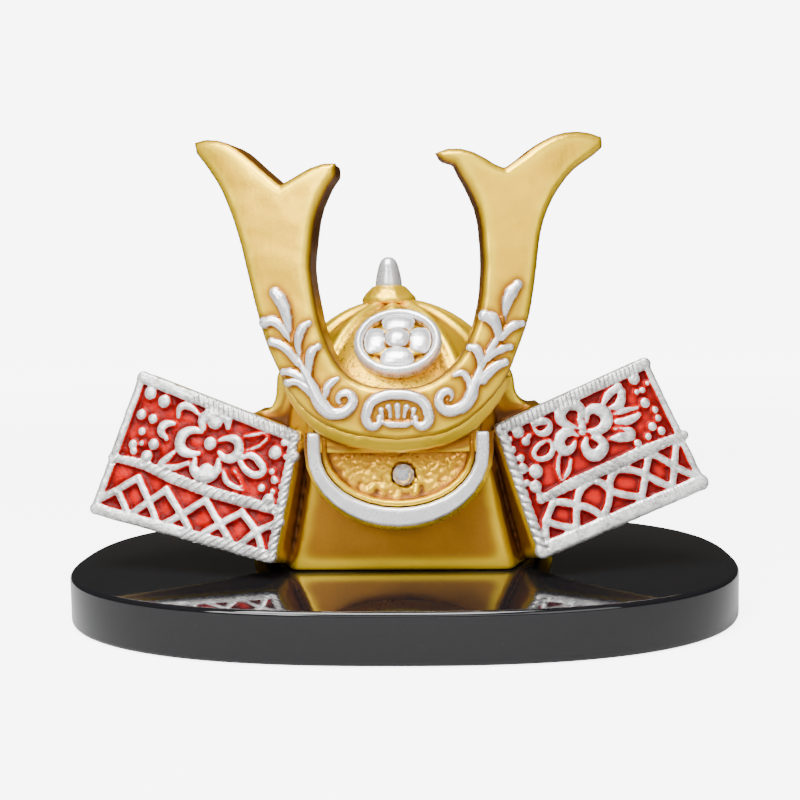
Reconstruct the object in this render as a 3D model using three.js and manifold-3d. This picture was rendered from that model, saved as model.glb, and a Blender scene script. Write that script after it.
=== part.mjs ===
// A small ceramic kabuto helmet on a black lacquered oval stand.
// Millimetres. X runs to the viewer's right, Y away from the viewer and Z up.
// The origin is the centre of the stand's underside.

import * as THREE from 'three';
import { mergeVertices } from 'three/addons/utils/BufferGeometryUtils.js';
import { TessellateModifier } from 'three/addons/modifiers/TessellateModifier.js';
import Module from 'manifold-3d';

const wasm = await Module();
wasm.setup();

// Clearance between pieces that touch
const GAP = 0.3;

// Stand
const STAND_WIDTH = 200;
const STAND_DEPTH = 136;
const STAND_HEIGHT = 14.2;
const STAND_SQUARENESS = 2.5;
const STAND_TOP_ROUND = 1.4;
const STAND_FOOT_ROUND = 0.8;

// The casting's place on the stand
const HELMET_OFFSET_X = 0.7;
const CERAMIC_WALL = 4;

// Bowl: a ribbed ball with its underside open
const BOWL_RADIUS = 39.6;
const BOWL_OFFSET_X = -2.4;
const BOWL_CENTRE_Y = 4;
const BOWL_FRONT_Y = BOWL_CENTRE_Y - BOWL_RADIUS;
const BOWL_RIM_Z = 38;
const RIB_HEIGHT = 1.1;
const RIB_WIDTH = 2.6;
const RIDGE_WIDTH = 1.5;

// Crown
const CROWN_OFFSET_X = -1.6;
const COLLAR_RADIUS = 8.4;
const COLLAR_RING_HEIGHT = 3.4;
const COLLAR_NECK_RADIUS = 6;
const COLLAR_HEIGHT = 6;
const FINIAL_RADIUS = 4.1;
const FINIAL_HEIGHT = 8.2;

// Medallion on the front of the bowl
const MEDALLION_RISE = 45;
const MEDALLION_RADIUS = 12.6;
const MEDALLION_RING_WIDTH = 2.5;
const MEDALLION_RING_HEIGHT = 2.6;
const MEDALLION_GROUND_HEIGHT = 0.9;
const PETAL_LENGTH = 7.2;
const PETAL_WIDTH = 8;
const PETAL_HEIGHT = 1.7;
const BUTTON_RADIUS = 3.4;
const BUTTON_HEIGHT = 2.8;

// Crest: one plate, curved back round the helmet, with two swallow-tailed horns
const CREST_REACH = 60;
const CREST_HEIGHT = 83.6;
const CREST_BASE_Z = 40.8;
const CREST_PROUD = 4.4;
const CREST_FRONT_Y = BOWL_FRONT_Y - CREST_PROUD;
const CREST_THICKNESS = 10;
const CREST_EDGE_ROUND = 1.1;
const TIP_SHARE = 0.3;
const CREST_CURVE_RADIUS = 150;
const CREST_LEAN = 4;
const CREST_FACET = 18;
const RELIEF_FACET = 9;
const RELIEF_HEIGHT = 1.7;
const STEM_WIDTH = 4.4;
const ARCH_WIDTH = 3.9;
const FAN_BAR_HEIGHT = 2.4;

// Brow band: the coved edge that carries the crest
const BROW_DROP = 4.1;
const BROW_LIP_DEPTH = 1.2;
const BROW_LIP_DROP = 0.2;
const BROW_COVE_DEPTH = 3.6;
const BROW_INSET = 4.6;
const BROW_HALF_WIDTH = BOWL_RADIUS - BROW_INSET;
const BROW_FACET = 20;
const BROW_TOP_Z = 57;
const BROW_TAPER = 6;

// Visor
const VISOR_INSET = 14.2;
const VISOR_HALF_WIDTH = BOWL_RADIUS - VISOR_INSET;
const VISOR_DROP = 21;
const VISOR_CENTRE_Z = 36.5;
const VISOR_TOP_Z = 42;
const VISOR_SET_BACK = 1.1;
const VISOR_FRONT_Y = BOWL_FRONT_Y + VISOR_SET_BACK;
const VISOR_TILT = -5;
const VISOR_DEPTH = 16.8;
const VISOR_RIM_SIDE = 3.6;
const VISOR_RIM_BOTTOM = 5.3;
const VISOR_RIM_HEIGHT = 2.2;
const VISOR_LIP_WIDTH = 1.7;
const VISOR_LIP_HEIGHT = 1.8;
const VISOR_FLANGE = 1.3;
const STONE_RADIUS = 3.15;
const STONE_HEIGHT = 1.9;
const STONE_OFFSET_X = 1.4;
const STONE_Z = 29.9;

// Face block and neck guard: the walls under the bowl
const BLOCK_FOOT_INSET = 7.3;
const BLOCK_TOP_INSET = 13.6;
const BLOCK_FOOT_HALF_WIDTH = BOWL_RADIUS - BLOCK_FOOT_INSET;
const BLOCK_TOP_HALF_WIDTH = BOWL_RADIUS - BLOCK_TOP_INSET;
const BLOCK_FOOT_SET_BACK = 12.6;
const BLOCK_TOP_SET_BACK = 15.6;
const BLOCK_FOOT_FRONT_Y = BOWL_FRONT_Y + BLOCK_FOOT_SET_BACK;
const BLOCK_TOP_FRONT_Y = BOWL_FRONT_Y + BLOCK_TOP_SET_BACK;
const BLOCK_SIDE_SPREAD = 8.5;
const BLOCK_BACK_Y = 1.5;
const BLOCK_CORNER = 1.2;
const NECK_OFFSET_X = -1.2;
const NECK_FLARE = 7.5;
const NECK_CUT_Y = 2.2;

// Wings: thick side plates that taper away from the body
const WING_LEFT_STANDOFF = 19.8;
const WING_RIGHT_STANDOFF = 17;
const WING_LEFT_X = -BOWL_RADIUS - WING_LEFT_STANDOFF;
const WING_RIGHT_X = BOWL_RADIUS + WING_RIGHT_STANDOFF;
const WING_SET_BACK = 14.6;
const WING_CENTRE_Y = BOWL_FRONT_Y + WING_SET_BACK;
const WING_LEFT_Z = 30.3;
const WING_RIGHT_Z = 33.1;
const WING_TURN = 12;
const WING_RISE = 14;
const WING_WIDTH = 60;
const WING_HEIGHT = 50;
const WING_EDGE_DEPTH = 9;
const WING_ROOT_RUN_BACK = 1.5;
const WING_ROOT_DEPTH = BLOCK_BACK_Y + WING_ROOT_RUN_BACK - WING_CENTRE_Y;
const WING_CORNER_RADIUS = 2.6;
const WING_EDGE_ROUND = 1;
const FRAME_WIDTH = 3.4;
const FRAME_HEIGHT = 2.8;
const PANEL_THICKNESS = 0.9;
const DIVIDER_WIDTH = 2.9;
const LATTICE_WIDTH = 2;
const LATTICE_HEIGHT = 1.4;
const LATTICE_CROSSINGS = 4;
const FLOWER_RADIUS = 6.1;
const FLOWER_LOOP = 2.5;
const FLOWER_TUBE = 2.3;
const FLOWER_HEIGHT = 2;
const FLOWER_BUTTON = 2.6;
const BLOSSOM_HEIGHT = 1.7;

// Outline of a horn as shares of the crest's reach and height, from the middle of the crest's
// lower edge up the outside to the notch, then from the notch down the inside to the crest's upper edge
const HORN_LEFT = {
  outside: [
    [0, 0], [0.178, 0.014], [0.289, 0.036], [0.374, 0.068], [0.476, 0.135], [0.543, 0.22],
    [0.592, 0.298], [0.636, 0.385], [0.68, 0.51], [0.737, 0.684], [0.817, 0.83], [0.92, 0.938],
    [0.972, 0.985], [0.94, 1], [0.835, 0.99], [0.752, 0.962], [0.632, 0.89], [0.535, 0.832],
  ],
  inside: [
    [0.535, 0.832], [0.46, 0.859], [0.398, 0.882], [0.327, 0.898], [0.275, 0.9], [0.262, 0.884],
    [0.28, 0.861], [0.322, 0.82], [0.375, 0.734], [0.402, 0.61], [0.405, 0.548], [0.382, 0.437],
    [0.355, 0.353], [0.303, 0.266], [0.228, 0.199], [0.13, 0.164], [0, 0.155],
  ],
};
const HORN_RIGHT = {
  outside: [
    [0, 0], [0.17, 0.012], [0.265, 0.034], [0.343, 0.068], [0.438, 0.132], [0.503, 0.195],
    [0.556, 0.282], [0.612, 0.392], [0.648, 0.55], [0.672, 0.669], [0.717, 0.766], [0.811, 0.864],
    [0.935, 0.932], [0.99, 0.97], [0.942, 0.988], [0.86, 0.997], [0.77, 0.986], [0.687, 0.958],
    [0.59, 0.908], [0.515, 0.872],
  ],
  inside: [
    [0.515, 0.872], [0.45, 0.89], [0.397, 0.914], [0.335, 0.932], [0.275, 0.937], [0.208, 0.93],
    [0.202, 0.912], [0.28, 0.9], [0.31, 0.866], [0.347, 0.823], [0.4, 0.736], [0.418, 0.617],
    [0.418, 0.531], [0.4, 0.417], [0.333, 0.286], [0.24, 0.208], [0.13, 0.164], [0, 0.155],
  ],
};
const OUTLINE_STEP = 3.4;

// Sprigs as shares of the crest's reach and height. Stem: x, z, width as a share of STEM_WIDTH.
// Leaf: base x, base z, tip x, tip z, width in mm, sideways bow as a share of its length
const SPRIG_LEFT = {
  stem: [
    [0.465, 0.335, 0.35], [0.44, 0.285, 0.5], [0.408, 0.232, 0.7], [0.38, 0.18, 0.9],
    [0.345, 0.13, 1], [0.302, 0.098, 1], [0.25, 0.084, 0.9], [0.206, 0.094, 0.8],
    [0.185, 0.122, 0.7], [0.204, 0.145, 0.62], [0.236, 0.141, 0.55], [0.238, 0.122, 0.45],
  ],
  leaves: [
    [0.462, 0.33, 0.552, 0.484, 4.1, 0.16], [0.452, 0.308, 0.605, 0.392, 4.1, 0.2],
    [0.42, 0.25, 0.575, 0.326, 4.3, 0.2], [0.378, 0.182, 0.528, 0.236, 5.5, 0.16],
    [0.44, 0.288, 0.382, 0.38, 3.8, -0.14], [0.398, 0.212, 0.334, 0.304, 3.8, -0.14],
    [0.335, 0.12, 0.258, 0.197, 3.5, -0.2],
  ],
};
const SPRIG_RIGHT = {
  stem: [
    [0.488, 0.338, 0.35], [0.466, 0.298, 0.5], [0.44, 0.252, 0.7], [0.41, 0.205, 0.85],
    [0.382, 0.165, 1], [0.352, 0.125, 1.05], [0.308, 0.097, 1], [0.26, 0.087, 0.9],
    [0.22, 0.1, 0.85], [0.203, 0.126, 0.75], [0.22, 0.148, 0.65], [0.25, 0.144, 0.5],
  ],
  leaves: [
    [0.488, 0.33, 0.57, 0.492, 4.2, -0.06], [0.47, 0.3, 0.404, 0.39, 4.2, -0.2],
    [0.474, 0.306, 0.596, 0.376, 4.0, 0.08], [0.43, 0.236, 0.344, 0.292, 4.0, -0.24],
    [0.43, 0.24, 0.538, 0.304, 4.0, 0.1], [0.382, 0.172, 0.52, 0.244, 4.8, 0.12],
    [0.362, 0.14, 0.274, 0.2, 4.1, -0.28],
  ],
};

// Half of the palmette's arch as shares of the crest: x, z, width as a share of ARCH_WIDTH
const ARCH_HALF = [
  [0, 0.126, 0.85], [0.05, 0.123, 0.85], [0.095, 0.112, 0.9], [0.128, 0.09, 0.95],
  [0.132, 0.062, 1], [0.104, 0.05, 0.95],
];
const FAN_RAYS = 4;

// Corners of each wing as shares of its width and height, from its centre, outwards first
const WING_CORNERS_LEFT = {
  outerTop: [0.34, 0.586],
  innerTop: [-0.523, 0.224],
  innerFoot: [-0.43, -0.536],
  outerFoot: [0.56, -0.28],
};
const WING_CORNERS_RIGHT = {
  outerTop: [0.28, 0.57],
  innerTop: [-0.5, 0.195],
  innerFoot: [-0.318, -0.58],
  outerFoot: [0.54, -0.215],
};
// The divider's height at the inner and outer edge, as shares of the way up the wing
const DIVIDER_INNER = 0.41;
const DIVIDER_OUTER = 0.37;

// Wing reliefs. Places are shares: across from the inner edge, then up from the foot.
// Leaf: across, up, length in mm, width in mm. Blossom: across, up, radius in mm
const WING_RELIEF_LEFT = {
  flower: [0.48, 0.69],
  firstPetal: 78,
  leaves: [
    [0.59, 0.83, 7.5, 4.2], [0.7, 0.66, 8.5, 4.6], [0.36, 0.53, 6.5, 3.6], [0.25, 0.61, 8, 4.4],
    [0.25, 0.78, 7, 3.6],
  ],
  blossoms: [[0.83, 0.81, 3.7], [0.85, 0.56, 3.7], [0.14, 0.74, 3], [0.135, 0.54, 2.6]],
};
const WING_RELIEF_RIGHT = {
  flower: [0.46, 0.69],
  firstPetal: 36,
  leaves: [
    [0.63, 0.82, 8.5, 4.2], [0.73, 0.73, 9, 4.2], [0.7, 0.57, 8, 4], [0.33, 0.53, 6, 3.4],
    [0.24, 0.66, 7.5, 4.2],
  ],
  blossoms: [[0.25, 0.83, 3], [0.135, 0.76, 3], [0.14, 0.54, 2.9], [0.85, 0.81, 3.4], [0.87, 0.58, 3.1]],
};

// Materials
const goldPaint = new THREE.MeshStandardMaterial({ color: 0xe3bd72, roughness: 0.42, metalness: 0.75 });
const goldShade = new THREE.MeshStandardMaterial({ color: 0xb5822f, roughness: 0.45, metalness: 0.75 });
const silverPaint = new THREE.MeshStandardMaterial({ color: 0xdcdcdf, roughness: 0.38, metalness: 0.7 });
const redEnamel = new THREE.MeshStandardMaterial({ color: 0xb8150f, roughness: 0.18, metalness: 0 });
const blackLacquer = new THREE.MeshStandardMaterial({ color: 0x070708, roughness: 0.08, metalness: 0 });
const clearStone = new THREE.MeshStandardMaterial({ color: 0xe9eef2, roughness: 0.05, metalness: 0.2 });

// Turns a list of points and triangles into a geometry whose faces point out
function closedGeometry(points, triangles) {
  let volume = 0;
  const cross = new THREE.Vector3();
  for (const [a, b, c] of triangles) {
    volume += cross.crossVectors(points[b], points[c]).dot(points[a]);
  }
  const faces = volume < 0 ? triangles.map(([a, b, c]) => [a, c, b]) : triangles;
  const geometry = new THREE.BufferGeometry().setFromPoints(points);
  geometry.setIndex(faces.flat());
  return geometry;
}

// Joins equal rings of points, in order, into a closed skin. The ends are capped, or meet if closed
function loft(rings, closed = false) {
  const count = rings[0].length;
  const points = rings.flat();
  const triangles = [];
  const bands = closed ? rings.length : rings.length - 1;
  for (let row = 0; row < bands; row += 1) {
    const next = (row + 1) % rings.length;
    for (let i = 0; i < count; i += 1) {
      const j = (i + 1) % count;
      triangles.push([row * count + i, next * count + j, row * count + j]);
      triangles.push([row * count + i, next * count + i, next * count + j]);
    }
  }
  if (!closed) {
    const last = (rings.length - 1) * count;
    for (const [a, b, c] of capTriangles(rings[0])) triangles.push([a, b, c]);
    for (const [a, b, c] of capTriangles(rings.at(-1))) triangles.push([last + a, last + c, last + b]);
  }
  return closedGeometry(points, triangles);
}

// Triangles of a flat ring, seen along its normal
function capTriangles(ring) {
  const normal = new THREE.Vector3();
  ring.forEach((point, i) => {
    const next = ring[(i + 1) % ring.length];
    normal.add(new THREE.Vector3().crossVectors(point, next));
  });
  normal.normalize();
  const turn = new THREE.Quaternion().setFromUnitVectors(normal, new THREE.Vector3(0, 0, 1));
  const flat = ring.map((point) => {
    const turned = point.clone().applyQuaternion(turn);
    return new THREE.Vector2(turned.x, turned.y);
  });
  return THREE.ShapeUtils.triangulateShape(flat, []);
}

// Moves each point of a line to the right of its direction, along the corner's bisector.
// At a corner the point goes further, so that both sides move by the whole distance
function shifted(line, reach, closed) {
  return line.map((point, i) => {
    const before = closed || i > 0 ? line.at(i - 1) : point;
    const after = closed || i + 1 < line.length ? line[(i + 1) % line.length] : point;
    const into = point.clone().sub(before).normalize();
    const out = after.clone().sub(point).normalize();
    const bisector = new THREE.Vector2(into.y + out.y, -into.x - out.x).normalize();
    const slant = Math.max(bisector.x * into.y - bisector.y * into.x, bisector.x * out.y - bisector.y * out.x);
    return point.clone().addScaledVector(bisector, reach(point, i) / Math.max(slant, 0.6));
  });
}

// Grows a closed outline, or shrinks it, though never past the middle of a narrow tip
function grown(outline, distance) {
  const side = THREE.ShapeUtils.area(outline) > 0 ? 1 : -1;
  if (distance >= 0) return shifted(outline, () => side * distance, true);
  const room = outline.map((point, i) => {
    const apart = outline.map((other, k) => {
      const steps = Math.abs(k - i);
      return Math.min(steps, outline.length - steps) < 3 ? Infinity : point.distanceTo(other);
    });
    return TIP_SHARE * Math.min(...apart);
  });
  const reach = (point, i) => {
    const least = Math.min(room.at(i - 1), room[i], room[(i + 1) % room.length]);
    return side * Math.max(distance, -least);
  };
  return shifted(outline, reach, true);
}

// A plate in the XZ plane, facing -Y. Each layer is an outline grown by some distance at some depth
function plate(outline, layers) {
  const rings = layers.map(({ depth, grow }) => grown(outline, grow).map((point) => {
    const y = typeof depth === 'function' ? depth(point.x, point.y) : depth;
    return new THREE.Vector3(point.x, y, point.y);
  }));
  return loft(rings);
}

// Half-round section of a raised strip: shares of its half width and of its height
const STRIP_SECTION = [[-1, 0], [-0.74, 0.76], [0, 1], [0.74, 0.76], [1, 0]];

// Flat-topped section of a bar
const BAR_SECTION = [[-1, 0], [-0.6, 1], [0.6, 1], [1, 0]];

// A raised strip on the XZ plane along stations of x, z and half width. It rises towards -Y
function strip(stations, height, { closed = false, section = STRIP_SECTION } = {}) {
  const count = stations.length;
  const rings = stations.map(([x, z, half], i) => {
    const before = closed ? stations.at(i - 1) : stations[Math.max(i - 1, 0)];
    const after = closed ? stations[(i + 1) % count] : stations[Math.min(i + 1, count - 1)];
    const along = new THREE.Vector2(after[0] - before[0], after[1] - before[1]).normalize();
    const rise = height * Math.min(1, Math.sqrt(half / stations[Math.floor(count / 2)][2]));
    return section.map(([across, up]) => {
      const offset = across * half;
      return new THREE.Vector3(x - along.y * offset, -up * rise, z + along.x * offset);
    });
  });
  return loft(rings, closed);
}

// Stations of a smooth curve through rows of x, z, width
function smoothStations(rows, steps, widthScale) {
  const curve = new THREE.CatmullRomCurve3(rows.map(([x, z, width]) => new THREE.Vector3(x, z, width)));
  return curve.getPoints(steps).map(({ x, y, z }) => [x, y, z * widthScale]);
}

// A leaf from its base to its tip, narrow at the base and round at the tip, bowed sideways
const LEAF_WIDTHS = [[0, 0.34], [0.36, 0.6], [0.72, 1], [0.93, 0.7], [1, 0.3]];

function leaf(base, tip, width, bow, height, section = STRIP_SECTION) {
  const along = tip.clone().sub(base);
  const across = new THREE.Vector2(-along.y, along.x);
  const stations = LEAF_WIDTHS.map(([share, wide]) => {
    const side = bow * 4 * share * (1 - share) * (0.6 + 0.8 * share);
    const point = base.clone().addScaledVector(along, share).addScaledVector(across, side);
    return [point.x, point.y, (wide * width) / 2];
  });
  return strip(stations, height, { section });
}

// A round dome that rises towards -Y
function dome(x, z, radius, height, sides) {
  const steps = [[1, 0], [0.9, 0.5], [0.6, 0.86], [0.001, 1]];
  const rings = steps.map(([wide, up]) => Array.from({ length: sides }, (_, i) => {
    const angle = (i / sides) * 2 * Math.PI;
    const reach = radius * wide;
    return new THREE.Vector3(x + reach * Math.cos(angle), -up * height, z + reach * Math.sin(angle));
  }));
  return loft(rings);
}

// Solids for cutting and joining
function toSolid(geometry) {
  const bare = geometry.clone();
  bare.deleteAttribute('normal');
  bare.deleteAttribute('uv');
  const merged = mergeVertices(bare, 1e-4);
  return new wasm.Manifold(new wasm.Mesh({
    numProp: 3,
    vertProperties: new Float32Array(merged.attributes.position.array),
    triVerts: new Uint32Array(merged.index.array),
  }));
}

function toGeometry(solid) {
  const mesh = solid.getMesh();
  const geometry = new THREE.BufferGeometry();
  geometry.setAttribute('position', new THREE.BufferAttribute(new Float32Array(mesh.vertProperties), 3));
  geometry.setIndex([...mesh.triVerts]);
  return geometry;
}

function joined(geometries) {
  return geometries.map(toSolid).reduce((whole, next) => whole.add(next));
}

function cutBy(solid, cutters) {
  return cutters.reduce((rest, cutter) => rest.subtract(cutter), solid);
}

function namedMesh(name, geometry, material) {
  const mesh = new THREE.Mesh(geometry, material);
  mesh.name = name;
  geometry.computeVertexNormals();
  return mesh;
}

// Stand: an oval board with rounded edges
function makeStand() {
  const sides = 44;
  const outline = Array.from({ length: sides }, (_, i) => {
    const angle = (i / sides) * 2 * Math.PI;
    const power = 2 / STAND_SQUARENESS;
    const x = Math.sign(Math.cos(angle)) * Math.abs(Math.cos(angle)) ** power;
    const y = Math.sign(Math.sin(angle)) * Math.abs(Math.sin(angle)) ** power;
    return new THREE.Vector2((x * STAND_WIDTH) / 2, (y * STAND_DEPTH) / 2);
  });
  const levels = [
    [0, -STAND_FOOT_ROUND], [STAND_FOOT_ROUND, 0], [STAND_HEIGHT - STAND_TOP_ROUND, 0],
    [STAND_HEIGHT - 0.3 * STAND_TOP_ROUND, -0.3 * STAND_TOP_ROUND], [STAND_HEIGHT, -STAND_TOP_ROUND],
  ];
  const rings = levels.map(([z, grow]) => grown(outline, grow).map(({ x, y }) => new THREE.Vector3(x, y, z)));
  return namedMesh('stand', loft(rings), blackLacquer);
}

// Ribs of the bowl: degrees round from the front, width, and how far down they start
const FRONT_RIDGES = 37;
const SIDE_RIBS = [62, 92, 121, 150, 180];

function bowlAzimuths() {
  const ribs = [[0, RIB_WIDTH]];
  for (const side of [-1, 1]) {
    ribs.push([side * FRONT_RIDGES, RIDGE_WIDTH]);
    for (const angle of SIDE_RIBS) if (angle < 180 || side > 0) ribs.push([side * angle, RIB_WIDTH]);
  }
  return ribs.sort((a, b) => a[0] - b[0]);
}

// The bowl's outer skin. Each rib is a raised band of even width that ends at the collar and the rim
function bowlSkin(grow) {
  const ribs = bowlAzimuths();
  const columns = [];
  ribs.forEach(([angle, width], i) => {
    const centre = THREE.MathUtils.degToRad(angle);
    columns.push([centre, -0.5 * width, 0], [centre, -0.28 * width, 1], [centre, 0.28 * width, 1]);
    columns.push([centre, 0.5 * width, 0]);
    const next = ribs[(i + 1) % ribs.length][0] + (i + 1 === ribs.length ? 360 : 0);
    columns.push([THREE.MathUtils.degToRad((angle + next) / 2), 0, 0]);
  });
  const radius = BOWL_RADIUS + grow;
  const topAngle = Math.asin(COLLAR_NECK_RADIUS / radius);
  const fades = [0, 0.6, 1, 1, 1, 0.4];
  const rings = fades.map((fade, row) => {
    const polar = THREE.MathUtils.lerp(topAngle, Math.PI / 2, row / (fades.length - 1));
    const round = radius * Math.sin(polar);
    return columns.map(([centre, offset, raised]) => {
      const azimuth = centre + offset / Math.max(round, 2 * COLLAR_NECK_RADIUS);
      const reach = radius + raised * fade * RIB_HEIGHT;
      const level = Math.sin(polar) * reach;
      return new THREE.Vector3(-level * Math.sin(azimuth), -level * Math.cos(azimuth), reach * Math.cos(polar));
    });
  });
  return loft(rings).translate(BOWL_OFFSET_X, BOWL_CENTRE_Y, BOWL_RIM_Z);
}

function makeBowl() {
  const sides = 24;
  const hollowRadius = BOWL_RADIUS - CERAMIC_WALL;
  const levels = [[1, -0.02], [1, 0], [0.92, 0.39], [0.72, 0.69], [0.4, 0.916], [0.1, 0.99]];
  const rings = levels.map(([wide, up]) => Array.from({ length: sides }, (_, i) => {
    const angle = (i / sides) * 2 * Math.PI;
    const reach = hollowRadius * wide;
    const z = up * hollowRadius;
    return new THREE.Vector3(reach * Math.cos(angle), reach * Math.sin(angle), z);
  }));
  const hollow = loft(rings).translate(BOWL_OFFSET_X, BOWL_CENTRE_Y, BOWL_RIM_Z);
  return toSolid(bowlSkin(0)).subtract(toSolid(hollow));
}

// A turned piece on the bowl's axis, from its profile of radius and height
function turned(profile, sides) {
  const points = profile.map(([radius, height]) => new THREE.Vector2(radius, height));
  return new THREE.LatheGeometry(points, sides).rotateX(Math.PI / 2);
}

function bowlTopZ() {
  return BOWL_RIM_Z + Math.sqrt(BOWL_RADIUS ** 2 - COLLAR_NECK_RADIUS ** 2);
}

// Collar: a rounded ring with a narrower ring on it
function makeCollar() {
  const profile = [
    [0, 0], [COLLAR_NECK_RADIUS, 0], [COLLAR_RADIUS, 0.35 * COLLAR_RING_HEIGHT],
    [COLLAR_RADIUS, 0.7 * COLLAR_RING_HEIGHT], [COLLAR_NECK_RADIUS + 0.5, COLLAR_RING_HEIGHT],
    [COLLAR_NECK_RADIUS, 0.9 * COLLAR_HEIGHT], [FINIAL_RADIUS + 0.6, COLLAR_HEIGHT], [0, COLLAR_HEIGHT],
  ];
  return turned(profile, 16).translate(BOWL_OFFSET_X + CROWN_OFFSET_X, BOWL_CENTRE_Y, bowlTopZ() + GAP);
}

function makeFinial() {
  const profile = [
    [0, 0], [FINIAL_RADIUS, 0], [FINIAL_RADIUS * 0.92, 0.4 * FINIAL_HEIGHT],
    [FINIAL_RADIUS * 0.74, 0.72 * FINIAL_HEIGHT], [FINIAL_RADIUS * 0.42, 0.94 * FINIAL_HEIGHT],
    [0, FINIAL_HEIGHT],
  ];
  const seat = bowlTopZ() + COLLAR_HEIGHT + 2 * GAP;
  return turned(profile, 12).translate(BOWL_OFFSET_X + CROWN_OFFSET_X, BOWL_CENTRE_Y, seat);
}

// The medallion lies on the bowl, square to the bowl's radius there
function medallionPlace() {
  const rise = THREE.MathUtils.degToRad(MEDALLION_RISE);
  const group = new THREE.Group();
  group.rotation.x = -rise;
  group.position.set(0, BOWL_CENTRE_Y - BOWL_RADIUS * Math.cos(rise), BOWL_RIM_Z + BOWL_RADIUS * Math.sin(rise));
  group.updateMatrix();
  return group;
}

function annulus(inner, outer, back, front, round) {
  const profile = [
    [inner, -back], [outer, -back], [outer, front - round], [outer - round, front], [inner + round, front],
    [inner, front - round], [inner, -back],
  ];
  return turned(profile, 20).rotateX(Math.PI / 2);
}

function makeMedallion() {
  const group = medallionPlace();
  const inverse = group.matrix.clone().invert().elements;
  const bowl = toSolid(bowlSkin(GAP)).transform(inverse);
  const sink = 3.5;
  const inner = MEDALLION_RADIUS - MEDALLION_RING_WIDTH;
  const ring = toSolid(annulus(inner, MEDALLION_RADIUS, sink, MEDALLION_RING_HEIGHT, 0.8)).subtract(bowl);
  const groundProfile = [[0, -sink], [inner - GAP, -sink], [inner - GAP, MEDALLION_GROUND_HEIGHT], [0, MEDALLION_GROUND_HEIGHT]];
  const ground = toSolid(turned(groundProfile, 20).rotateX(Math.PI / 2)).subtract(bowl);
  const petals = [];
  for (let i = 0; i < 4; i += 1) {
    petals.push(petal(inner - GAP - PETAL_LENGTH / 2 - 0.2).rotateY((i * Math.PI) / 2));
  }
  petals.push(dome(0, 0, BUTTON_RADIUS, BUTTON_HEIGHT, 10));
  const flower = joined(petals);
  group.add(namedMesh('medallion_ring', toGeometry(ring), silverPaint));
  group.add(namedMesh('medallion_ground', toGeometry(ground), goldPaint));
  const flowerMesh = namedMesh('medallion_flower', toGeometry(flower), silverPaint);
  flowerMesh.position.y = -MEDALLION_GROUND_HEIGHT - GAP;
  group.add(flowerMesh);
  return group;
}

// One petal: a rounded fan, narrower towards the flower's middle
function petal(distance) {
  const sides = 10;
  const outline = Array.from({ length: sides }, (_, i) => {
    const angle = (i / sides) * 2 * Math.PI;
    const taper = 1 + 0.22 * Math.sin(angle);
    const x = (PETAL_WIDTH / 2) * Math.cos(angle) * taper;
    return new THREE.Vector2(x, distance + (PETAL_LENGTH / 2) * Math.sin(angle));
  });
  return plate(outline, [
    { depth: 0, grow: 0 }, { depth: -0.55 * PETAL_HEIGHT, grow: -0.15 }, { depth: -PETAL_HEIGHT, grow: -1 },
  ]);
}

// The crest's outline in the XZ plane, from its base, in even steps
function crestOutline() {
  const side = (horn, sign) => {
    const run = (rows) => {
      const curve = new THREE.SplineCurve(
        rows.map(([x, z]) => new THREE.Vector2(sign * x * CREST_REACH, z * CREST_HEIGHT)),
      );
      return curve.getSpacedPoints(Math.round(curve.getLength() / OUTLINE_STEP));
    };
    return [...run(horn.outside).slice(0, -1), ...run(horn.inside)];
  };
  const right = side(HORN_RIGHT, 1);
  const left = side(HORN_LEFT, -1);
  return [...right, ...left.slice(1, -1).reverse()];
}

// Wraps a flat piece round the crest's curved front. Depth 0 is the crest's face
function ontoCrest(geometry, edge = RELIEF_FACET) {
  const fine = new TessellateModifier(edge, 16).modify(geometry.toNonIndexed());
  fine.deleteAttribute('normal');
  const bent = mergeVertices(fine, 1e-3);
  const lean = Math.tan(THREE.MathUtils.degToRad(CREST_LEAN));
  const position = bent.attributes.position;
  for (let i = 0; i < position.count; i += 1) {
    const [x, depth, z] = [position.getX(i), position.getY(i), position.getZ(i)];
    const angle = Math.asin(x / CREST_CURVE_RADIUS);
    const reach = CREST_CURVE_RADIUS - depth;
    const back = CREST_CURVE_RADIUS - reach * Math.cos(angle);
    position.setXYZ(i, reach * Math.sin(angle), CREST_FRONT_Y + back + lean * z, CREST_BASE_Z + z);
  }
  return bent;
}

function crestPlate(grow) {
  return ontoCrest(plate(crestOutline(), [
    { depth: -grow, grow: grow - CREST_EDGE_ROUND }, { depth: -grow + CREST_EDGE_ROUND, grow },
    { depth: CREST_THICKNESS + grow, grow: grow - 0.5 * CREST_EDGE_ROUND },
  ]), CREST_FACET);
}

function makeCrest() {
  return toSolid(crestPlate(0)).subtract(toSolid(bowlSkin(GAP)));
}

// The crest's lower edge, from left to right, as far up as the brow band follows it
function crestLowerEdge() {
  const rows = (horn, sign) => horn.outside
    .filter(([, z]) => z * CREST_HEIGHT < BROW_TOP_Z - CREST_BASE_Z + 3 * BROW_DROP)
    .map(([x, z]) => new THREE.Vector2(sign * x * CREST_REACH, z * CREST_HEIGHT));
  const line = [...rows(HORN_LEFT, -1).reverse(), ...rows(HORN_RIGHT, 1).slice(1)];
  return new THREE.SplineCurve(line).getPoints(Math.round(1.5 * line.length));
}

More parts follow.
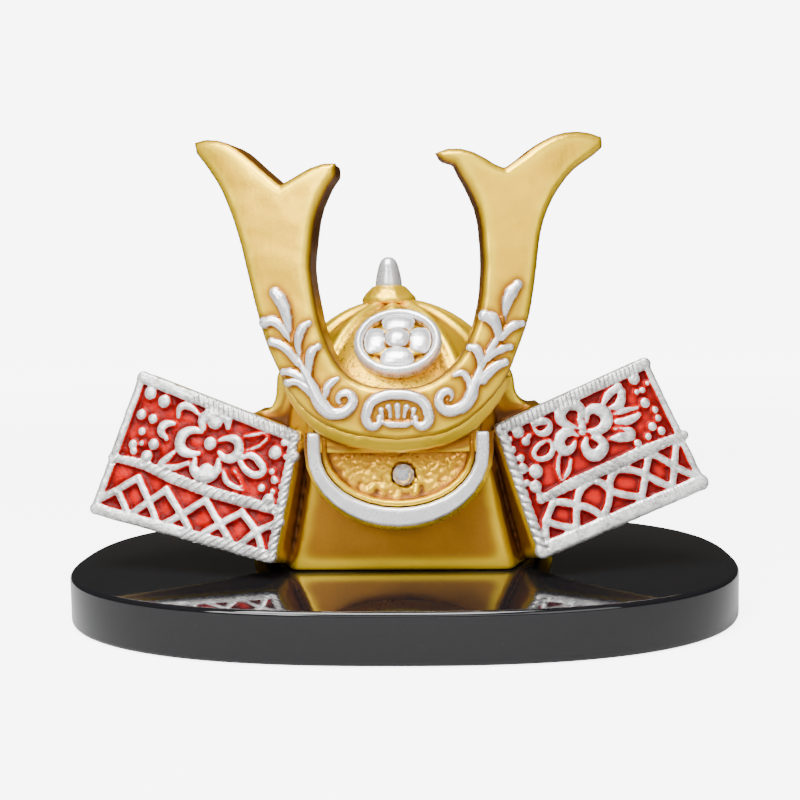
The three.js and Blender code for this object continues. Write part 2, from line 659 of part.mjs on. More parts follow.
// The brow band runs under the crest's lower edge and slopes back below it
function makeBrowBand(grow = 0) {
  const edge = crestLowerEdge();
  const inside = shifted(edge, () => -BROW_DROP, false).reverse();
  const levels = [
    [BROW_LIP_DEPTH - grow, BROW_LIP_DROP + grow], [BROW_COVE_DEPTH - grow, BROW_DROP + grow],
    [CREST_THICKNESS + grow, BROW_DROP + grow],
  ];
  const drop = ({ x }) => Math.max(0.2, 1 - Math.abs(x / BROW_HALF_WIDTH) ** BROW_TAPER);
  const rings = levels.map(([depth, out]) => [...shifted(edge, (point) => out * drop(point), false), ...inside]
    .map(({ x, y }) => new THREE.Vector3(x, depth, y)));
  const band = ontoCrest(loft(rings), BROW_FACET);
  const reach = BROW_HALF_WIDTH + grow;
  const height = BROW_TOP_Z - CREST_BASE_Z + 3 * BROW_DROP + grow;
  const window = new THREE.BoxGeometry(2 * reach, 4 * CREST_THICKNESS, height);
  window.translate(0, CREST_FRONT_Y + CREST_THICKNESS, BROW_TOP_Z + grow - height / 2);
  const piece = toSolid(band).intersect(toSolid(window));
  if (grow > 0) return piece;
  return cutBy(piece, [toSolid(crestPlate(GAP)), toSolid(bowlSkin(GAP))]);
}

function onCrestPoint(x, z) {
  return new THREE.Vector2(x * CREST_REACH, z * CREST_HEIGHT);
}

function makeSprig(table, sign) {
  const rows = table.stem.map(([x, z, width]) => [sign * x * CREST_REACH, z * CREST_HEIGHT, width]);
  const pieces = [strip(smoothStations(rows, 14, STEM_WIDTH / 2), RELIEF_HEIGHT)];
  for (const [x, z, tipX, tipZ, width, bow] of table.leaves) {
    const base = onCrestPoint(sign * x, z);
    pieces.push(leaf(base, onCrestPoint(sign * tipX, tipZ), width, -sign * bow, RELIEF_HEIGHT));
  }
  return ontoCrest(toGeometry(joined(pieces)).translate(0, -GAP, 0));
}

function makeArch() {
  const half = ARCH_HALF.map(([x, z, width]) => [x * CREST_REACH, z * CREST_HEIGHT, width]);
  const rows = [...half.slice(1).reverse().map(([x, z, width]) => [-x, z, width]), ...half];
  return ontoCrest(strip(smoothStations(rows, 18, ARCH_WIDTH / 2), RELIEF_HEIGHT).translate(0, -GAP, 0));
}

// The fan: short rays over a bar, inside the arch
function makeFan() {
  const middle = 0.5 * CREST_HEIGHT * (ARCH_HALF[0][1] + ARCH_HALF.at(-1)[1]) - 0.5 * FAN_BAR_HEIGHT;
  const barHalf = 0.052 * CREST_REACH;
  const reach = ARCH_HALF[0][1] * CREST_HEIGHT - ARCH_WIDTH / 2 - GAP - middle;
  const bar = [[-barHalf - 0.7, 0.4], [-barHalf, 1], [0, 1], [barHalf, 1], [barHalf + 0.7, 0.4]];
  const pieces = [strip(bar.map(([x, wide]) => [x, middle - 1.2, (wide * FAN_BAR_HEIGHT) / 2]), RELIEF_HEIGHT)];
  for (let i = 0; i < FAN_RAYS; i += 1) {
    const share = i / (FAN_RAYS - 1) - 0.5;
    const base = new THREE.Vector2(share * barHalf * 1.3, middle - 0.8);
    const tip = new THREE.Vector2(share * barHalf * 2.2, middle + reach * (1 - 1.1 * share * share));
    pieces.push(leaf(base, tip, 1.9, 0, RELIEF_HEIGHT * 0.8));
  }
  return ontoCrest(toGeometry(joined(pieces)).translate(0, -GAP, 0));
}

// Half an ellipse that hangs below the visor's centre line, with straight sides above it
function visorOutline(shrinkSide, shrinkBottom, top) {
  const steps = 16;
  const outline = [];
  for (let i = 0; i <= steps; i += 1) {
    const angle = Math.PI * (1 + i / steps);
    const x = (VISOR_HALF_WIDTH - shrinkSide) * Math.cos(angle);
    outline.push(new THREE.Vector2(x, VISOR_CENTRE_Z + (VISOR_DROP - shrinkBottom) * Math.sin(angle)));
  }
  outline.push(new THREE.Vector2(outline.at(-1).x, top), new THREE.Vector2(outline[0].x, top));
  return outline;
}

// A U-shaped band between two visor outlines
function visorBand(outer, inner, layers) {
  const band = [...outer.slice(0, -2), outer.at(-2), inner.at(-2), ...inner.slice(0, -2).reverse(), inner.at(-1), outer.at(-1)];
  return plate(band, layers);
}

function visorPlace() {
  const group = new THREE.Group();
  group.position.set(0, VISOR_FRONT_Y, VISOR_CENTRE_Z);
  group.rotation.x = THREE.MathUtils.degToRad(VISOR_TILT);
  group.updateMatrix();
  return group;
}

// The visor filled in, with a margin, for cutting the pieces beside it
function visorCutter(margin) {
  const outline = visorOutline(-VISOR_FLANGE - margin, -VISOR_FLANGE - margin, VISOR_TOP_Z + margin);
  const filled = plate(outline, [{ depth: -margin, grow: 0 }, { depth: VISOR_DEPTH + margin, grow: 0 }]);
  return toSolid(filled.translate(0, 0, -VISOR_CENTRE_Z).applyMatrix4(visorPlace().matrix));
}

function makeVisor(cutters) {
  const group = visorPlace();
  const inverse = group.matrix.clone().invert();
  const down = new THREE.Matrix4().makeTranslation(0, 0, -VISOR_CENTRE_Z);
  const local = cutters.map((cutter) => cutter.transform(inverse.elements));
  const lipSide = VISOR_RIM_SIDE + GAP;
  const lipBottom = VISOR_RIM_BOTTOM + GAP;
  const ground = VISOR_RIM_HEIGHT + GAP;
  const outer = visorOutline(0, 0, VISOR_TOP_Z);
  const body = plate(visorOutline(-VISOR_FLANGE, -VISOR_FLANGE, VISOR_TOP_Z), [
    { depth: ground, grow: -VISOR_FLANGE }, { depth: ground + VISOR_FLANGE, grow: 0 },
    { depth: VISOR_DEPTH, grow: 0 },
  ]);
  const lip = visorBand(
    visorOutline(lipSide, lipBottom, VISOR_TOP_Z),
    visorOutline(lipSide + VISOR_LIP_WIDTH, lipBottom + VISOR_LIP_WIDTH, VISOR_TOP_Z),
    [
      { depth: ground + 0.5, grow: 0 }, { depth: ground - 0.6 * VISOR_LIP_HEIGHT, grow: 0 },
      { depth: ground - VISOR_LIP_HEIGHT, grow: -0.45 },
    ],
  );
  const rim = visorBand(outer, visorOutline(VISOR_RIM_SIDE, VISOR_RIM_BOTTOM, VISOR_TOP_Z), [
    { depth: VISOR_RIM_HEIGHT, grow: 0 }, { depth: 0.6, grow: 0 }, { depth: 0, grow: -0.6 },
  ]);
  const stoneZ = STONE_Z - VISOR_CENTRE_Z;
  const seat = new THREE.CylinderGeometry(STONE_RADIUS + GAP, STONE_RADIUS + GAP, 1.6, 16);
  seat.translate(STONE_OFFSET_X, ground, STONE_Z);
  const bodySolid = joined([body, lip]).subtract(toSolid(seat));
  const bodyPiece = cutBy(bodySolid.transform(down.elements), local);
  const rimPiece = cutBy(toSolid(rim).transform(down.elements), local);
  group.add(namedMesh('visor', toGeometry(bodyPiece), goldPaint));
  group.add(namedMesh('visor_rim', toGeometry(rimPiece), silverPaint));
  const facets = 10;
  const stoneProfile = [
    [0, -STONE_HEIGHT * 0.35], [STONE_RADIUS, 0], [STONE_RADIUS * 0.97, 0.25 * STONE_HEIGHT],
    [STONE_RADIUS * 0.55, STONE_HEIGHT], [0, STONE_HEIGHT],
  ];
  const stone = namedMesh('visor_stone', turned(stoneProfile, facets).rotateX(Math.PI / 2), clearStone);
  stone.position.set(STONE_OFFSET_X, ground, stoneZ);
  group.add(stone);
  return group;
}

// The face block's outer plan at a share of its height, from its right rear corner round the front
function blockPlan(share, grow) {
  const half = THREE.MathUtils.lerp(BLOCK_FOOT_HALF_WIDTH, BLOCK_TOP_HALF_WIDTH, 1 - (1 - share) ** 1.5) + grow;
  const front = THREE.MathUtils.lerp(BLOCK_FOOT_FRONT_Y, BLOCK_TOP_FRONT_Y, share) - grow;
  const right = [
    [half + BLOCK_SIDE_SPREAD, BLOCK_BACK_Y], [half + 0.3 * BLOCK_CORNER, front + BLOCK_CORNER],
    [half - BLOCK_CORNER, front],
  ];
  return [...right, ...right.map(([x, y]) => [-x, y]).reverse()];
}

// The inside of the face block's walls, from its left rear round to the right
function blockInside(share) {
  const [rear, , corner] = blockPlan(share, -CERAMIC_WALL);
  return [[-rear[0], BLOCK_BACK_Y], [-corner[0] - BLOCK_CORNER, corner[1]], [corner[0] + BLOCK_CORNER, corner[1]], rear];
}

function wallTopZ() {
  return BOWL_RIM_Z - GAP;
}

// Three walls, open behind. The filled shape is for cutting the pieces that butt against them
function makeFaceBlock(grow = 0) {
  const rings = [0, 0.18, 0.4, 0.65, 1].map((share) => {
    const z = THREE.MathUtils.lerp(GAP, wallTopZ(), share);
    const outer = blockPlan(share, grow);
    const plan = grow > 0 ? outer : [...outer, ...blockInside(share)];
    return plan.map(([x, y]) => new THREE.Vector3(x, y, z));
  });
  return toSolid(loft(rings));
}

// Neck guard: three lames that step out towards the foot, round the back of the helmet.
// Rows: share of the height, share of the flare
const NECK_ROWS = [[1, 0], [0.7, 0.34], [0.69, 0.48], [0.38, 0.7], [0.37, 0.84], [0.04, 1], [0, 0.94]];

function makeNeckGuard(grow = 0) {
  const steps = 10;
  const frontY = grow > 0 ? BLOCK_BACK_Y : NECK_CUT_Y;
  const rings = NECK_ROWS.map(([share, flare]) => {
    const z = THREE.MathUtils.lerp(GAP, wallTopZ(), share);
    const outer = BOWL_RADIUS + NECK_FLARE * flare + grow;
    const arc = (radius) => {
      const start = Math.asin((frontY - BOWL_CENTRE_Y) / radius);
      return Array.from({ length: steps + 1 }, (_, i) => {
        const angle = THREE.MathUtils.lerp(start, Math.PI - start, i / steps);
        return new THREE.Vector3(radius * Math.cos(angle), BOWL_CENTRE_Y + radius * Math.sin(angle), z);
      });
    };
    return grow > 0 ? arc(outer) : [...arc(outer), ...arc(outer - CERAMIC_WALL).reverse()];
  });
  return toSolid(loft(rings).translate(NECK_OFFSET_X, 0, 0));
}

function wingCorners(sign) {
  return sign < 0 ? WING_CORNERS_LEFT : WING_CORNERS_RIGHT;
}

// A point of the wing from its shares across and up, in millimetres
function wingPoint(sign, across, up) {
  const corners = wingCorners(sign);
  const at = (corner) => new THREE.Vector2(sign * corner[0] * WING_WIDTH, corner[1] * WING_HEIGHT);
  const foot = at(corners.innerFoot).lerp(at(corners.outerFoot), across);
  const top = at(corners.innerTop).lerp(at(corners.outerTop), across);
  return foot.lerp(top, up);
}

// The wing's outline with its corners rounded
function wingOutline(sign, inset, radius) {
  const corners = [[0, 0], [1, 0], [1, 1], [0, 1]].map(([across, up]) => wingPoint(sign, across, up));
  const sharp = grown(corners, -inset);
  const outline = [];
  sharp.forEach((corner, i) => {
    const before = sharp.at(i - 1).clone().sub(corner).setLength(radius);
    const after = sharp[(i + 1) % 4].clone().sub(corner).setLength(radius);
    for (const share of [0, 0.5, 1]) {
      const curve = new THREE.QuadraticBezierCurve(corner.clone().add(before), corner, corner.clone().add(after));
      outline.push(curve.getPoint(share));
    }
  });
  return outline;
}

function wingPlace(sign) {
  const group = new THREE.Group();
  group.rotation.order = 'ZXY';
  group.rotation.z = THREE.MathUtils.degToRad(sign * WING_TURN);
  group.rotation.x = -THREE.MathUtils.degToRad(WING_RISE);
  if (sign > 0) group.position.set(WING_RIGHT_X, WING_CENTRE_Y, WING_RIGHT_Z);
  else group.position.set(WING_LEFT_X, WING_CENTRE_Y, WING_LEFT_Z);
  group.updateMatrix();
  return group;
}

// The wing's body is thick at its root and thinner at its outer edge
function wingBody(sign) {
  const innerX = WING_WIDTH * wingCorners(sign).innerTop[0];
  const outerX = WING_WIDTH * wingCorners(sign).outerFoot[0];
  const back = (x) => {
    const share = (sign * x - innerX) / (outerX - innerX);
    return THREE.MathUtils.lerp(WING_ROOT_DEPTH, WING_EDGE_DEPTH, Math.min(1, Math.max(0, share)));
  };
  return plate(wingOutline(sign, 0, WING_CORNER_RADIUS), [
    { depth: 0, grow: -WING_EDGE_ROUND }, { depth: WING_EDGE_ROUND, grow: 0 },
    { depth: (x) => back(x) - 2 * WING_EDGE_ROUND, grow: -0.5 },
    { depth: back, grow: -2.5 * WING_EDGE_ROUND },
  ]);
}

// Border, divider and lattice in one pierced piece. The border stands round the red panel
function wingFrame(sign) {
  const border = wingOutline(sign, FRAME_WIDTH / 2 + 0.2, WING_CORNER_RADIUS)
    .map(({ x, y }) => [x, y, FRAME_WIDTH / 2]);
  const pieces = [strip(border, FRAME_HEIGHT, { closed: true, section: BAR_SECTION })];
  const bar = (from, to, width, height) => {
    const stations = [from, to].map((point) => [point.x, point.y, width / 2]);
    pieces.push(strip(stations, height, { section: BAR_SECTION }).translate(0, -PANEL_THICKNESS - GAP, 0));
  };
  const margin = 0.035;
  const dividerUp = (across) => THREE.MathUtils.lerp(DIVIDER_INNER, DIVIDER_OUTER, across);
  const dividerEnd = (across) => wingPoint(sign, across, dividerUp(across));
  bar(dividerEnd(margin), dividerEnd(1 - margin), DIVIDER_WIDTH, FRAME_HEIGHT - PANEL_THICKNESS - 1.5 * GAP);
  const pitch = (1 - 2 * margin) / LATTICE_CROSSINGS;
  for (let i = 0; i < LATTICE_CROSSINGS; i += 1) {
    const start = margin + i * pitch;
    const end = start + pitch;
    bar(wingPoint(sign, start, margin), dividerEnd(end), LATTICE_WIDTH, LATTICE_HEIGHT);
    bar(wingPoint(sign, end, margin), dividerEnd(start), LATTICE_WIDTH, LATTICE_HEIGHT);
  }
  return joined(pieces);
}

// The red panel inside the border
function wingPanel(sign) {
  return plate(wingOutline(sign, FRAME_WIDTH + 0.2 + GAP, 0.6 * WING_CORNER_RADIUS), [
    { depth: 0, grow: 0 }, { depth: -PANEL_THICKNESS, grow: 0 },
  ]);
}

// The flower: four looped petals round a button, with leaves that point away from it
function wingFlower(sign, relief) {
  const centre = wingPoint(sign, ...relief.flower);
  const pieces = [dome(centre.x, centre.y, FLOWER_BUTTON, FLOWER_HEIGHT * 1.1, 8)];
  for (let i = 0; i < 4; i += 1) {
    const turn = THREE.MathUtils.degToRad(relief.firstPetal + 90 * i);
    const middle = new THREE.Vector2(Math.cos(turn), Math.sin(turn)).multiplyScalar(FLOWER_RADIUS - 0.7);
    const loop = Array.from({ length: 7 }, (_, k) => {
      const angle = turn + ((k + 0.5) / 7) * 2 * Math.PI;
      const reach = FLOWER_LOOP * (1 + 0.12 * Math.cos(angle - turn));
      const x = centre.x + middle.x + reach * Math.cos(angle);
      return [x, centre.y + middle.y + reach * Math.sin(angle), FLOWER_TUBE / 2];
    });
    pieces.push(strip(loop, FLOWER_HEIGHT, { closed: true, section: BAR_SECTION }));
  }
  for (const [across, up, length, width] of relief.leaves) {
    const middle = wingPoint(sign, across, up);
    const along = middle.clone().sub(centre).normalize();
    const base = centre.clone().addScaledVector(along, 0.8 * FLOWER_BUTTON);
    const tip = middle.addScaledVector(along, length / 2);
    pieces.push(leaf(base, tip, width, 0.06, FLOWER_HEIGHT * 0.9, BAR_SECTION));
  }
  return joined(pieces);
}

// A small five-lobed blossom
function blossom(radius) {
  const sides = 15;
  const outline = Array.from({ length: sides }, (_, i) => {
    const angle = (i / sides) * 2 * Math.PI;
    const reach = radius * (0.86 + 0.14 * Math.cos(5 * angle));
    return new THREE.Vector2(reach * Math.cos(angle), reach * Math.sin(angle));
  });
  return plate(outline, [
    { depth: 0, grow: 0 }, { depth: -0.6 * BLOSSOM_HEIGHT, grow: -0.2 }, { depth: -BLOSSOM_HEIGHT, grow: -1.1 },
  ]);
}

function makeWing(name, sign, relief, cutters) {
  const group = wingPlace(sign);
  const inverse = group.matrix.clone().invert().elements;
  const body = cutBy(toSolid(wingBody(sign)), cutters.map((cutter) => cutter.transform(inverse)));
  group.add(namedMesh(`wing_${name}`, toGeometry(body), goldShade));
  const frame = namedMesh(`wing_frame_${name}`, toGeometry(wingFrame(sign)), silverPaint);
  const panel = namedMesh(`wing_panel_${name}`, wingPanel(sign), redEnamel);
  const raised = new THREE.Group();
  raised.position.y = -PANEL_THICKNESS - GAP;
  raised.add(namedMesh(`wing_flower_${name}`, toGeometry(wingFlower(sign, relief)), silverPaint));
  relief.blossoms.forEach(([across, up, radius], i) => {
    const mesh = namedMesh(`wing_blossom_${name}_${i + 1}`, blossom(radius), silverPaint);
    const place = wingPoint(sign, across, up);
    mesh.position.set(place.x, 0, place.y);
    raised.add(mesh);
  });
  const face = new THREE.Group();
  face.position.y = -GAP;
  face.add(frame, panel, raised);
  group.add(face);
  return group;
}

const helmet = new THREE.Group();
helmet.position.set(HELMET_OFFSET_X, 0, STAND_HEIGHT);

const bowlCutter = toSolid(bowlSkin(GAP));
const blockCutter = makeFaceBlock(GAP);
const neckCutter = makeNeckGuard(GAP);
const browCutter = makeBrowBand(GAP);
const crestCutter = toSolid(crestPlate(GAP));

helmet.add(namedMesh('helmet_bowl', toGeometry(makeBowl()), goldPaint));
helmet.add(namedMesh('crown_collar', makeCollar(), goldPaint));
helmet.add(namedMesh('crown_finial', makeFinial(), silverPaint));
helmet.add(makeMedallion());
helmet.add(namedMesh('crest', toGeometry(makeCrest()), goldPaint));
helmet.add(namedMesh('sprig_left', makeSprig(SPRIG_LEFT, -1), silverPaint));
helmet.add(namedMesh('sprig_right', makeSprig(SPRIG_RIGHT, 1), silverPaint));
helmet.add(namedMesh('palmette_arch', makeArch(), silverPaint));
helmet.add(namedMesh('palmette_fan', makeFan(), silverPaint));
helmet.add(namedMesh('brow_band', toGeometry(makeBrowBand()), goldShade));
helmet.add(namedMesh('face_block', toGeometry(makeFaceBlock()), goldShade));
helmet.add(namedMesh('neck_guard', toGeometry(makeNeckGuard()), goldShade));
helmet.add(makeVisor([bowlCutter, blockCutter, browCutter, crestCutter]));
const belowFoot = new THREE.BoxGeometry(STAND_WIDTH, STAND_DEPTH, STAND_HEIGHT);
belowFoot.translate(0, 0, GAP - STAND_HEIGHT / 2);
const wingCutters = [bowlCutter, blockCutter, neckCutter, browCutter, visorCutter(GAP), toSolid(belowFoot)];
helmet.add(makeWing('left', -1, WING_RELIEF_LEFT, wingCutters));
helmet.add(makeWing('right', 1, WING_RELIEF_RIGHT, wingCutters));

const group = new THREE.Group();
group.add(makeStand(), helmet);

export default group;
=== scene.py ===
import math
import bpy
import numpy as np
from mathutils import Matrix, Vector
from mathutils.kdtree import KDTree


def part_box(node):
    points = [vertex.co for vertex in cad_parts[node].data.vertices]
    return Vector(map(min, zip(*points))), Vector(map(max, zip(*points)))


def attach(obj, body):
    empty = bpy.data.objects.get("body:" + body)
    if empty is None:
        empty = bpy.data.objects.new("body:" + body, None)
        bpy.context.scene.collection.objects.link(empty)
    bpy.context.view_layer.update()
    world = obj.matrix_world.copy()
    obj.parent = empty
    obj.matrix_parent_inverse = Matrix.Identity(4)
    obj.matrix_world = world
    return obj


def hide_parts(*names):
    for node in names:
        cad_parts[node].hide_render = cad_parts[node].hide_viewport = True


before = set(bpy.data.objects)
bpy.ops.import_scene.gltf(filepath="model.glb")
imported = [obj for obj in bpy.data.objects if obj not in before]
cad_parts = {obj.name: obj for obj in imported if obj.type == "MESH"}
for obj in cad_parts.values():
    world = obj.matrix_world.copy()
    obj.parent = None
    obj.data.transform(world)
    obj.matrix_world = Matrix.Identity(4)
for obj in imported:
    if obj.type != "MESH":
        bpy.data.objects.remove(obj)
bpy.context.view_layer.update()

MM = 0.001
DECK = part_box("stand")[1].z
HELMET_X = 0.7 * MM

# Camera, as the photograph was taken
CAMERA_PLACE = Vector((17.9, -351.5, 91.2)) * MM
CAMERA_TURN = 2.95
CAMERA_DOWN = 4.7
CAMERA_ROLL = -0.95
CAMERA_LENS = 51.75

# The stand's outline is a superellipse of this power
STAND_POWER = 2.5
STAND_EDGE_ROUND = 1.3 * MM

# The crest's curve, as in the solids, and how much fuller its face is here
CREST_FRONT_Y = -40 * MM
CREST_BASE_Z = DECK + 40.8 * MM
CREST_CURVE_RADIUS = 150 * MM
CREST_LEAN = math.tan(math.radians(4))
CREST_FULLER = 0.7 * MM

# Bowl
BOWL_RADIUS = 39.6 * MM
BOWL_NARROWER = 0.92
BOWL_CENTRE = Vector((HELMET_X - 2.4 * MM, 4 * MM, DECK + 38 * MM))
RIB_TUBE = 1.9 * MM
RIB_TURNS = (37, 62, 92, 121, 150, 180, 210, 239, 268, 298, 323)
BOWL_FOOT = -2 * MM
LOBE_RISE = 76
LOBE_SIZE = Vector((2.2, 1.4, 4)) * MM

# The casting: how far its walls grow towards each other before they are fused, the block behind the crest's
# foot, and the webs that run from the bowl's sides down onto the wings
WALL_GROWTH = 0.2 * MM
BACKING_CENTRE = Vector((HELMET_X, -27 * MM, DECK + 43 * MM))
BACKING_SIZE = Vector((46, 12, 14)) * MM
BODY_VOXEL = 0.75 * MM
WEB_FRONT = -17 * MM
WEB_BACK = -4 * MM
SHOULDER_WEBS = (
    ((-34, 61), (-36.2, 57), (-36.5, 53.3), (-36.8, 50.3), (-37.8, 48.2), (-39.4, 46.9), (-42.4, 46.8),
     (-44, 44), (-30, 36),
     (-26, 50), (-28, 60)),
    ((32.5, 58), (33.3, 55), (33.5, 52.1), (34.5, 50), (36, 48.4), (37.9, 47.7), (40.1, 48.2), (42, 46),
     (30, 36), (24, 50),
     (26, 58)),
)

# Medallion
MEDALLION_RISE = 45
MEDALLION_RADIUS = 12.6 * MM

# The stippled ground beside the medallion, in degrees from the medallion's middle
STIPPLE_INNER = 17
STIPPLE_OUTER = 36

# Wings: the centre of each face, its corners from the outer top one inwards, and the widths of the border's
# top, inner, lower and outer sides, in millimetres
WING_TURN = 12
WING_RISE = 14
WING_CENTRE = {"left": (-59.4, -21, 30.3), "right": (56.6, -21, 33.1)}
WING_CORNERS = {
    "left": ((-20.4, 29.3), (31.4, 11.2), (25.8, -26.8), (-33.6, -14)),
    "right": ((16.8, 28.5), (-30, 9.8), (-19.1, -29), (32.4, -10.8)),
}
BORDER_WIDTHS = {"left": (3.9, 2.9, 3.7, 3), "right": (3.9, 3.1, 4.7, 2.6)}
# The red ground's height, the highest that a stroke rises over it, and the lattice bars, in millimetres
RELIEF_GROUND = 0.7
RELIEF_LIMIT = 1.7
LATTICE_HALF_WIDTH = 1.35
WING_VOXEL = 0.32 * MM


# Materials
class Wire:
    """A socket of a finish. Sums and products of wires add Math nodes."""

    def __init__(self, finish, socket):
        self.finish = finish
        self.socket = socket

    def _math(self, operation, first, second):
        return self.finish.node("ShaderNodeMath", {"operation": operation}, {0: first, 1: second})

    def __add__(self, other):
        return self._math("ADD", self, other)

    def __sub__(self, other):
        return self._math("SUBTRACT", self, other)

    def __mul__(self, other):
        return self._math("MULTIPLY", self, other)

    def __rsub__(self, other):
        return self._math("SUBTRACT", other, self)


class Finish:
    """A material under construction: a Principled surface and the nodes that vary it."""

    def __init__(self, name, metallic=0.0, roughness=0.5, coat=0.0):
        self.material = bpy.data.materials.new(name)
        self.material.use_nodes = True
        self.tree = self.material.node_tree
        self.surface = self.tree.nodes["Principled BSDF"]
        self.surface.inputs["Metallic"].default_value = metallic
        self.surface.inputs["Roughness"].default_value = roughness
        self.surface.inputs["Coat Weight"].default_value = coat
        self.surface.inputs["Coat Roughness"].default_value = 0.06
        self.place = self.node("ShaderNodeTexCoord", {}, {}, "Object")

    def node(self, kind, settings, inputs, output=0):
        made = self.tree.nodes.new(kind)
        for name, value in settings.items():
            if name == "stops":
                self._fill_ramp(made.color_ramp, value)
            else:
                setattr(made, name, value)
        for name, value in inputs.items():
            if isinstance(value, Wire):
                self.tree.links.new(value.socket, made.inputs[name])
            else:
                made.inputs[name].default_value = value
        return Wire(self, made.outputs[output])

    @staticmethod
    def _fill_ramp(ramp, stops):
        while len(ramp.elements) < len(stops):
            ramp.elements.new(1)
        for element, (position, colour) in zip(ramp.elements, stops):
            element.position = position
            element.color = (*colour, 1)

    def noise(self, size, detail=3.0, stretch=(1, 1, 1)):
        """Soft noise whose features are about size metres across, from 0 to 1."""
        place = self.node("ShaderNodeMapping", {}, {"Vector": self.place, "Scale": stretch})
        settings = {"Vector": place, "Scale": 1 / size, "Detail": detail, "Roughness": 0.55}
        return self.node("ShaderNodeTexNoise", {}, settings)

    def attribute(self, name):
        return self.node("ShaderNodeAttribute", {"attribute_name": name}, {}, "Fac")

    def step(self, value, low, high):
        """0 below low and 1 above high, with a soft rise between."""
        settings = {"Value": value, "From Min": low, "From Max": high}
        return self.node("ShaderNodeMapRange", {"interpolation_type": "SMOOTHSTEP"}, settings)

    def mix(self, factor, first, second):
        """first where factor is 0 and second where it is 1. Both are colours."""
        first, second = (c if isinstance(c, Wire) else (*c, 1) for c in (first, second))
        return self.node("ShaderNodeMix", {"data_type": "RGBA"}, {0: factor, 6: first, 7: second}, 2)

    def bump(self, height, strength, distance):
        return self.node("ShaderNodeBump", {}, {"Height": height, "Strength": strength, "Distance": distance})

    def feed(self, **wires):
        for name, wire in wires.items():
            self.tree.links.new(wire.socket, self.surface.inputs[name.replace("_", " ")])
        return self.material


# GOLD_PALE is the colour of the painted highlight on edges; GOLD_DEEP and GOLD_BROWN are the colours of
# painted shade in hollows, round the reliefs and on side walls, and GOLD_BROWN also colours the stipple dots.
GOLD_FACE = (0.92, 0.53, 0.0)
GOLD_PALE = (1.0, 0.68, 0.01)
GOLD_DEEP = (0.32, 0.11, 0.0)
GOLD_BROWN = (0.10, 0.032, 0.004)


def gold_paint(name, face=GOLD_FACE, roughness=0.36):
    """Satin gold paint: painted shade in brown in the hollows, round the crest's reliefs, at the visor's top
    and on the side walls, with some antique brown in the hollows and on the walls, and a painted highlight in
    paler gold on the edges, along with wear there.
    """
    finish = Finish(name, metallic=0.7)
    hollow = finish.attribute("hollow")
    pale = finish.attribute("pale")
    wall = finish.attribute("wall")
    stipple = finish.attribute("stipple")
    # Painted shade round the crest's reliefs and at the top of the visor.
    wash = finish.attribute("wash")
    cloud = finish.noise(12 * MM)
    grain = finish.noise(0.7 * MM, detail=5)
    dots = finish.step(finish.noise(0.9 * MM, detail=1), 0.52, 0.66) * stipple
    brushed = finish.noise(1.1 * MM, detail=2, stretch=(1, 1, 0.16))
    # Brown in the hollows and darker brown in the deepest of them: painted shade, along with some antique
    # brown.
    sunk = finish.step(hollow + (cloud - 0.5) * 0.2, 0.55, 0.86)
    deepest = finish.step(hollow + (cloud - 0.5) * 0.2, 0.76, 1.0)
    # Paler gold on the edges: a painted highlight, along with wear there.
    wear_and_highlight = finish.step(hollow, 0.47, 0.15)
    worn = finish.step(cloud + (grain - 0.5) * 0.5, 0.25, 0.8)
    base = finish.mix(worn, face, tuple(0.82 * c for c in face))
    base = finish.mix(pale, base, GOLD_FACE)
    base = finish.mix(wear_and_highlight * 0.7, base, GOLD_PALE)
    # Darker brown on the side walls: painted shade, over some antique brown.
    base = finish.mix(wall, base, tuple(0.6 * c for c in GOLD_DEEP))
    base = finish.mix(sunk, base, GOLD_DEEP)
    base = finish.mix(wash * 0.95, base, GOLD_DEEP)
    # GOLD_BROWN here is painted shade in the deepest hollows, and the real stipple dots.
    base = finish.mix(deepest + dots * 0.6, base, GOLD_BROWN)
    rough = (grain - 0.5) * 0.16 + (cloud - 0.5) * 0.12 + sunk * 0.1 + roughness
    height = grain * 0.6 + brushed * 0.7 - dots * 1.6
    return finish.feed(Base_Color=base, Roughness=rough, Normal=finish.bump(height, 0.2, 0.3 * MM))


def silver_paint(name, roughness=0.3):
    """Satin silver paint over gold: the gold shows where the brush missed the low parts, and the brown and
    dark grey in the hollows are painted shade.
    """
    finish = Finish(name, metallic=0.65)
    hollow = finish.attribute("hollow")
    low = finish.attribute("low")
    cloud = finish.noise(6 * MM)
    grain = finish.noise(0.6 * MM, detail=5)
    # Gold and brown at the foot of a relief: the gold ground where the silver misses the low parts, and
    # painted shade in the hollows.
    sunk = finish.step(hollow + (cloud - 0.5) * 0.16 + low * 0.5 + (grain - 0.5) * low * 0.4, 0.6, 0.82)
    grey = finish.mix(finish.step(cloud, 0.3, 0.75), (0.94, 0.94, 0.94), (0.72, 0.72, 0.73))
    # Dark grey in the hollows: painted shade.
    grey = finish.mix(finish.step(hollow, 0.46, 0.64) * 0.75, grey, (0.25, 0.24, 0.22))
    base = finish.mix(sunk, grey, GOLD_DEEP)
    rough = (grain - 0.5) * 0.2 + (cloud - 0.5) * 0.1 + roughness
    return finish.feed(Base_Color=base, Roughness=rough, Normal=finish.bump(grain, 0.14, 0.2 * MM))


# The glaze red, and the darker red of painted shade in the pits.
RED_GLAZE = (0.46, 0.003, 0.001)
RED_SHADE = (0.10, 0.001, 0.001)


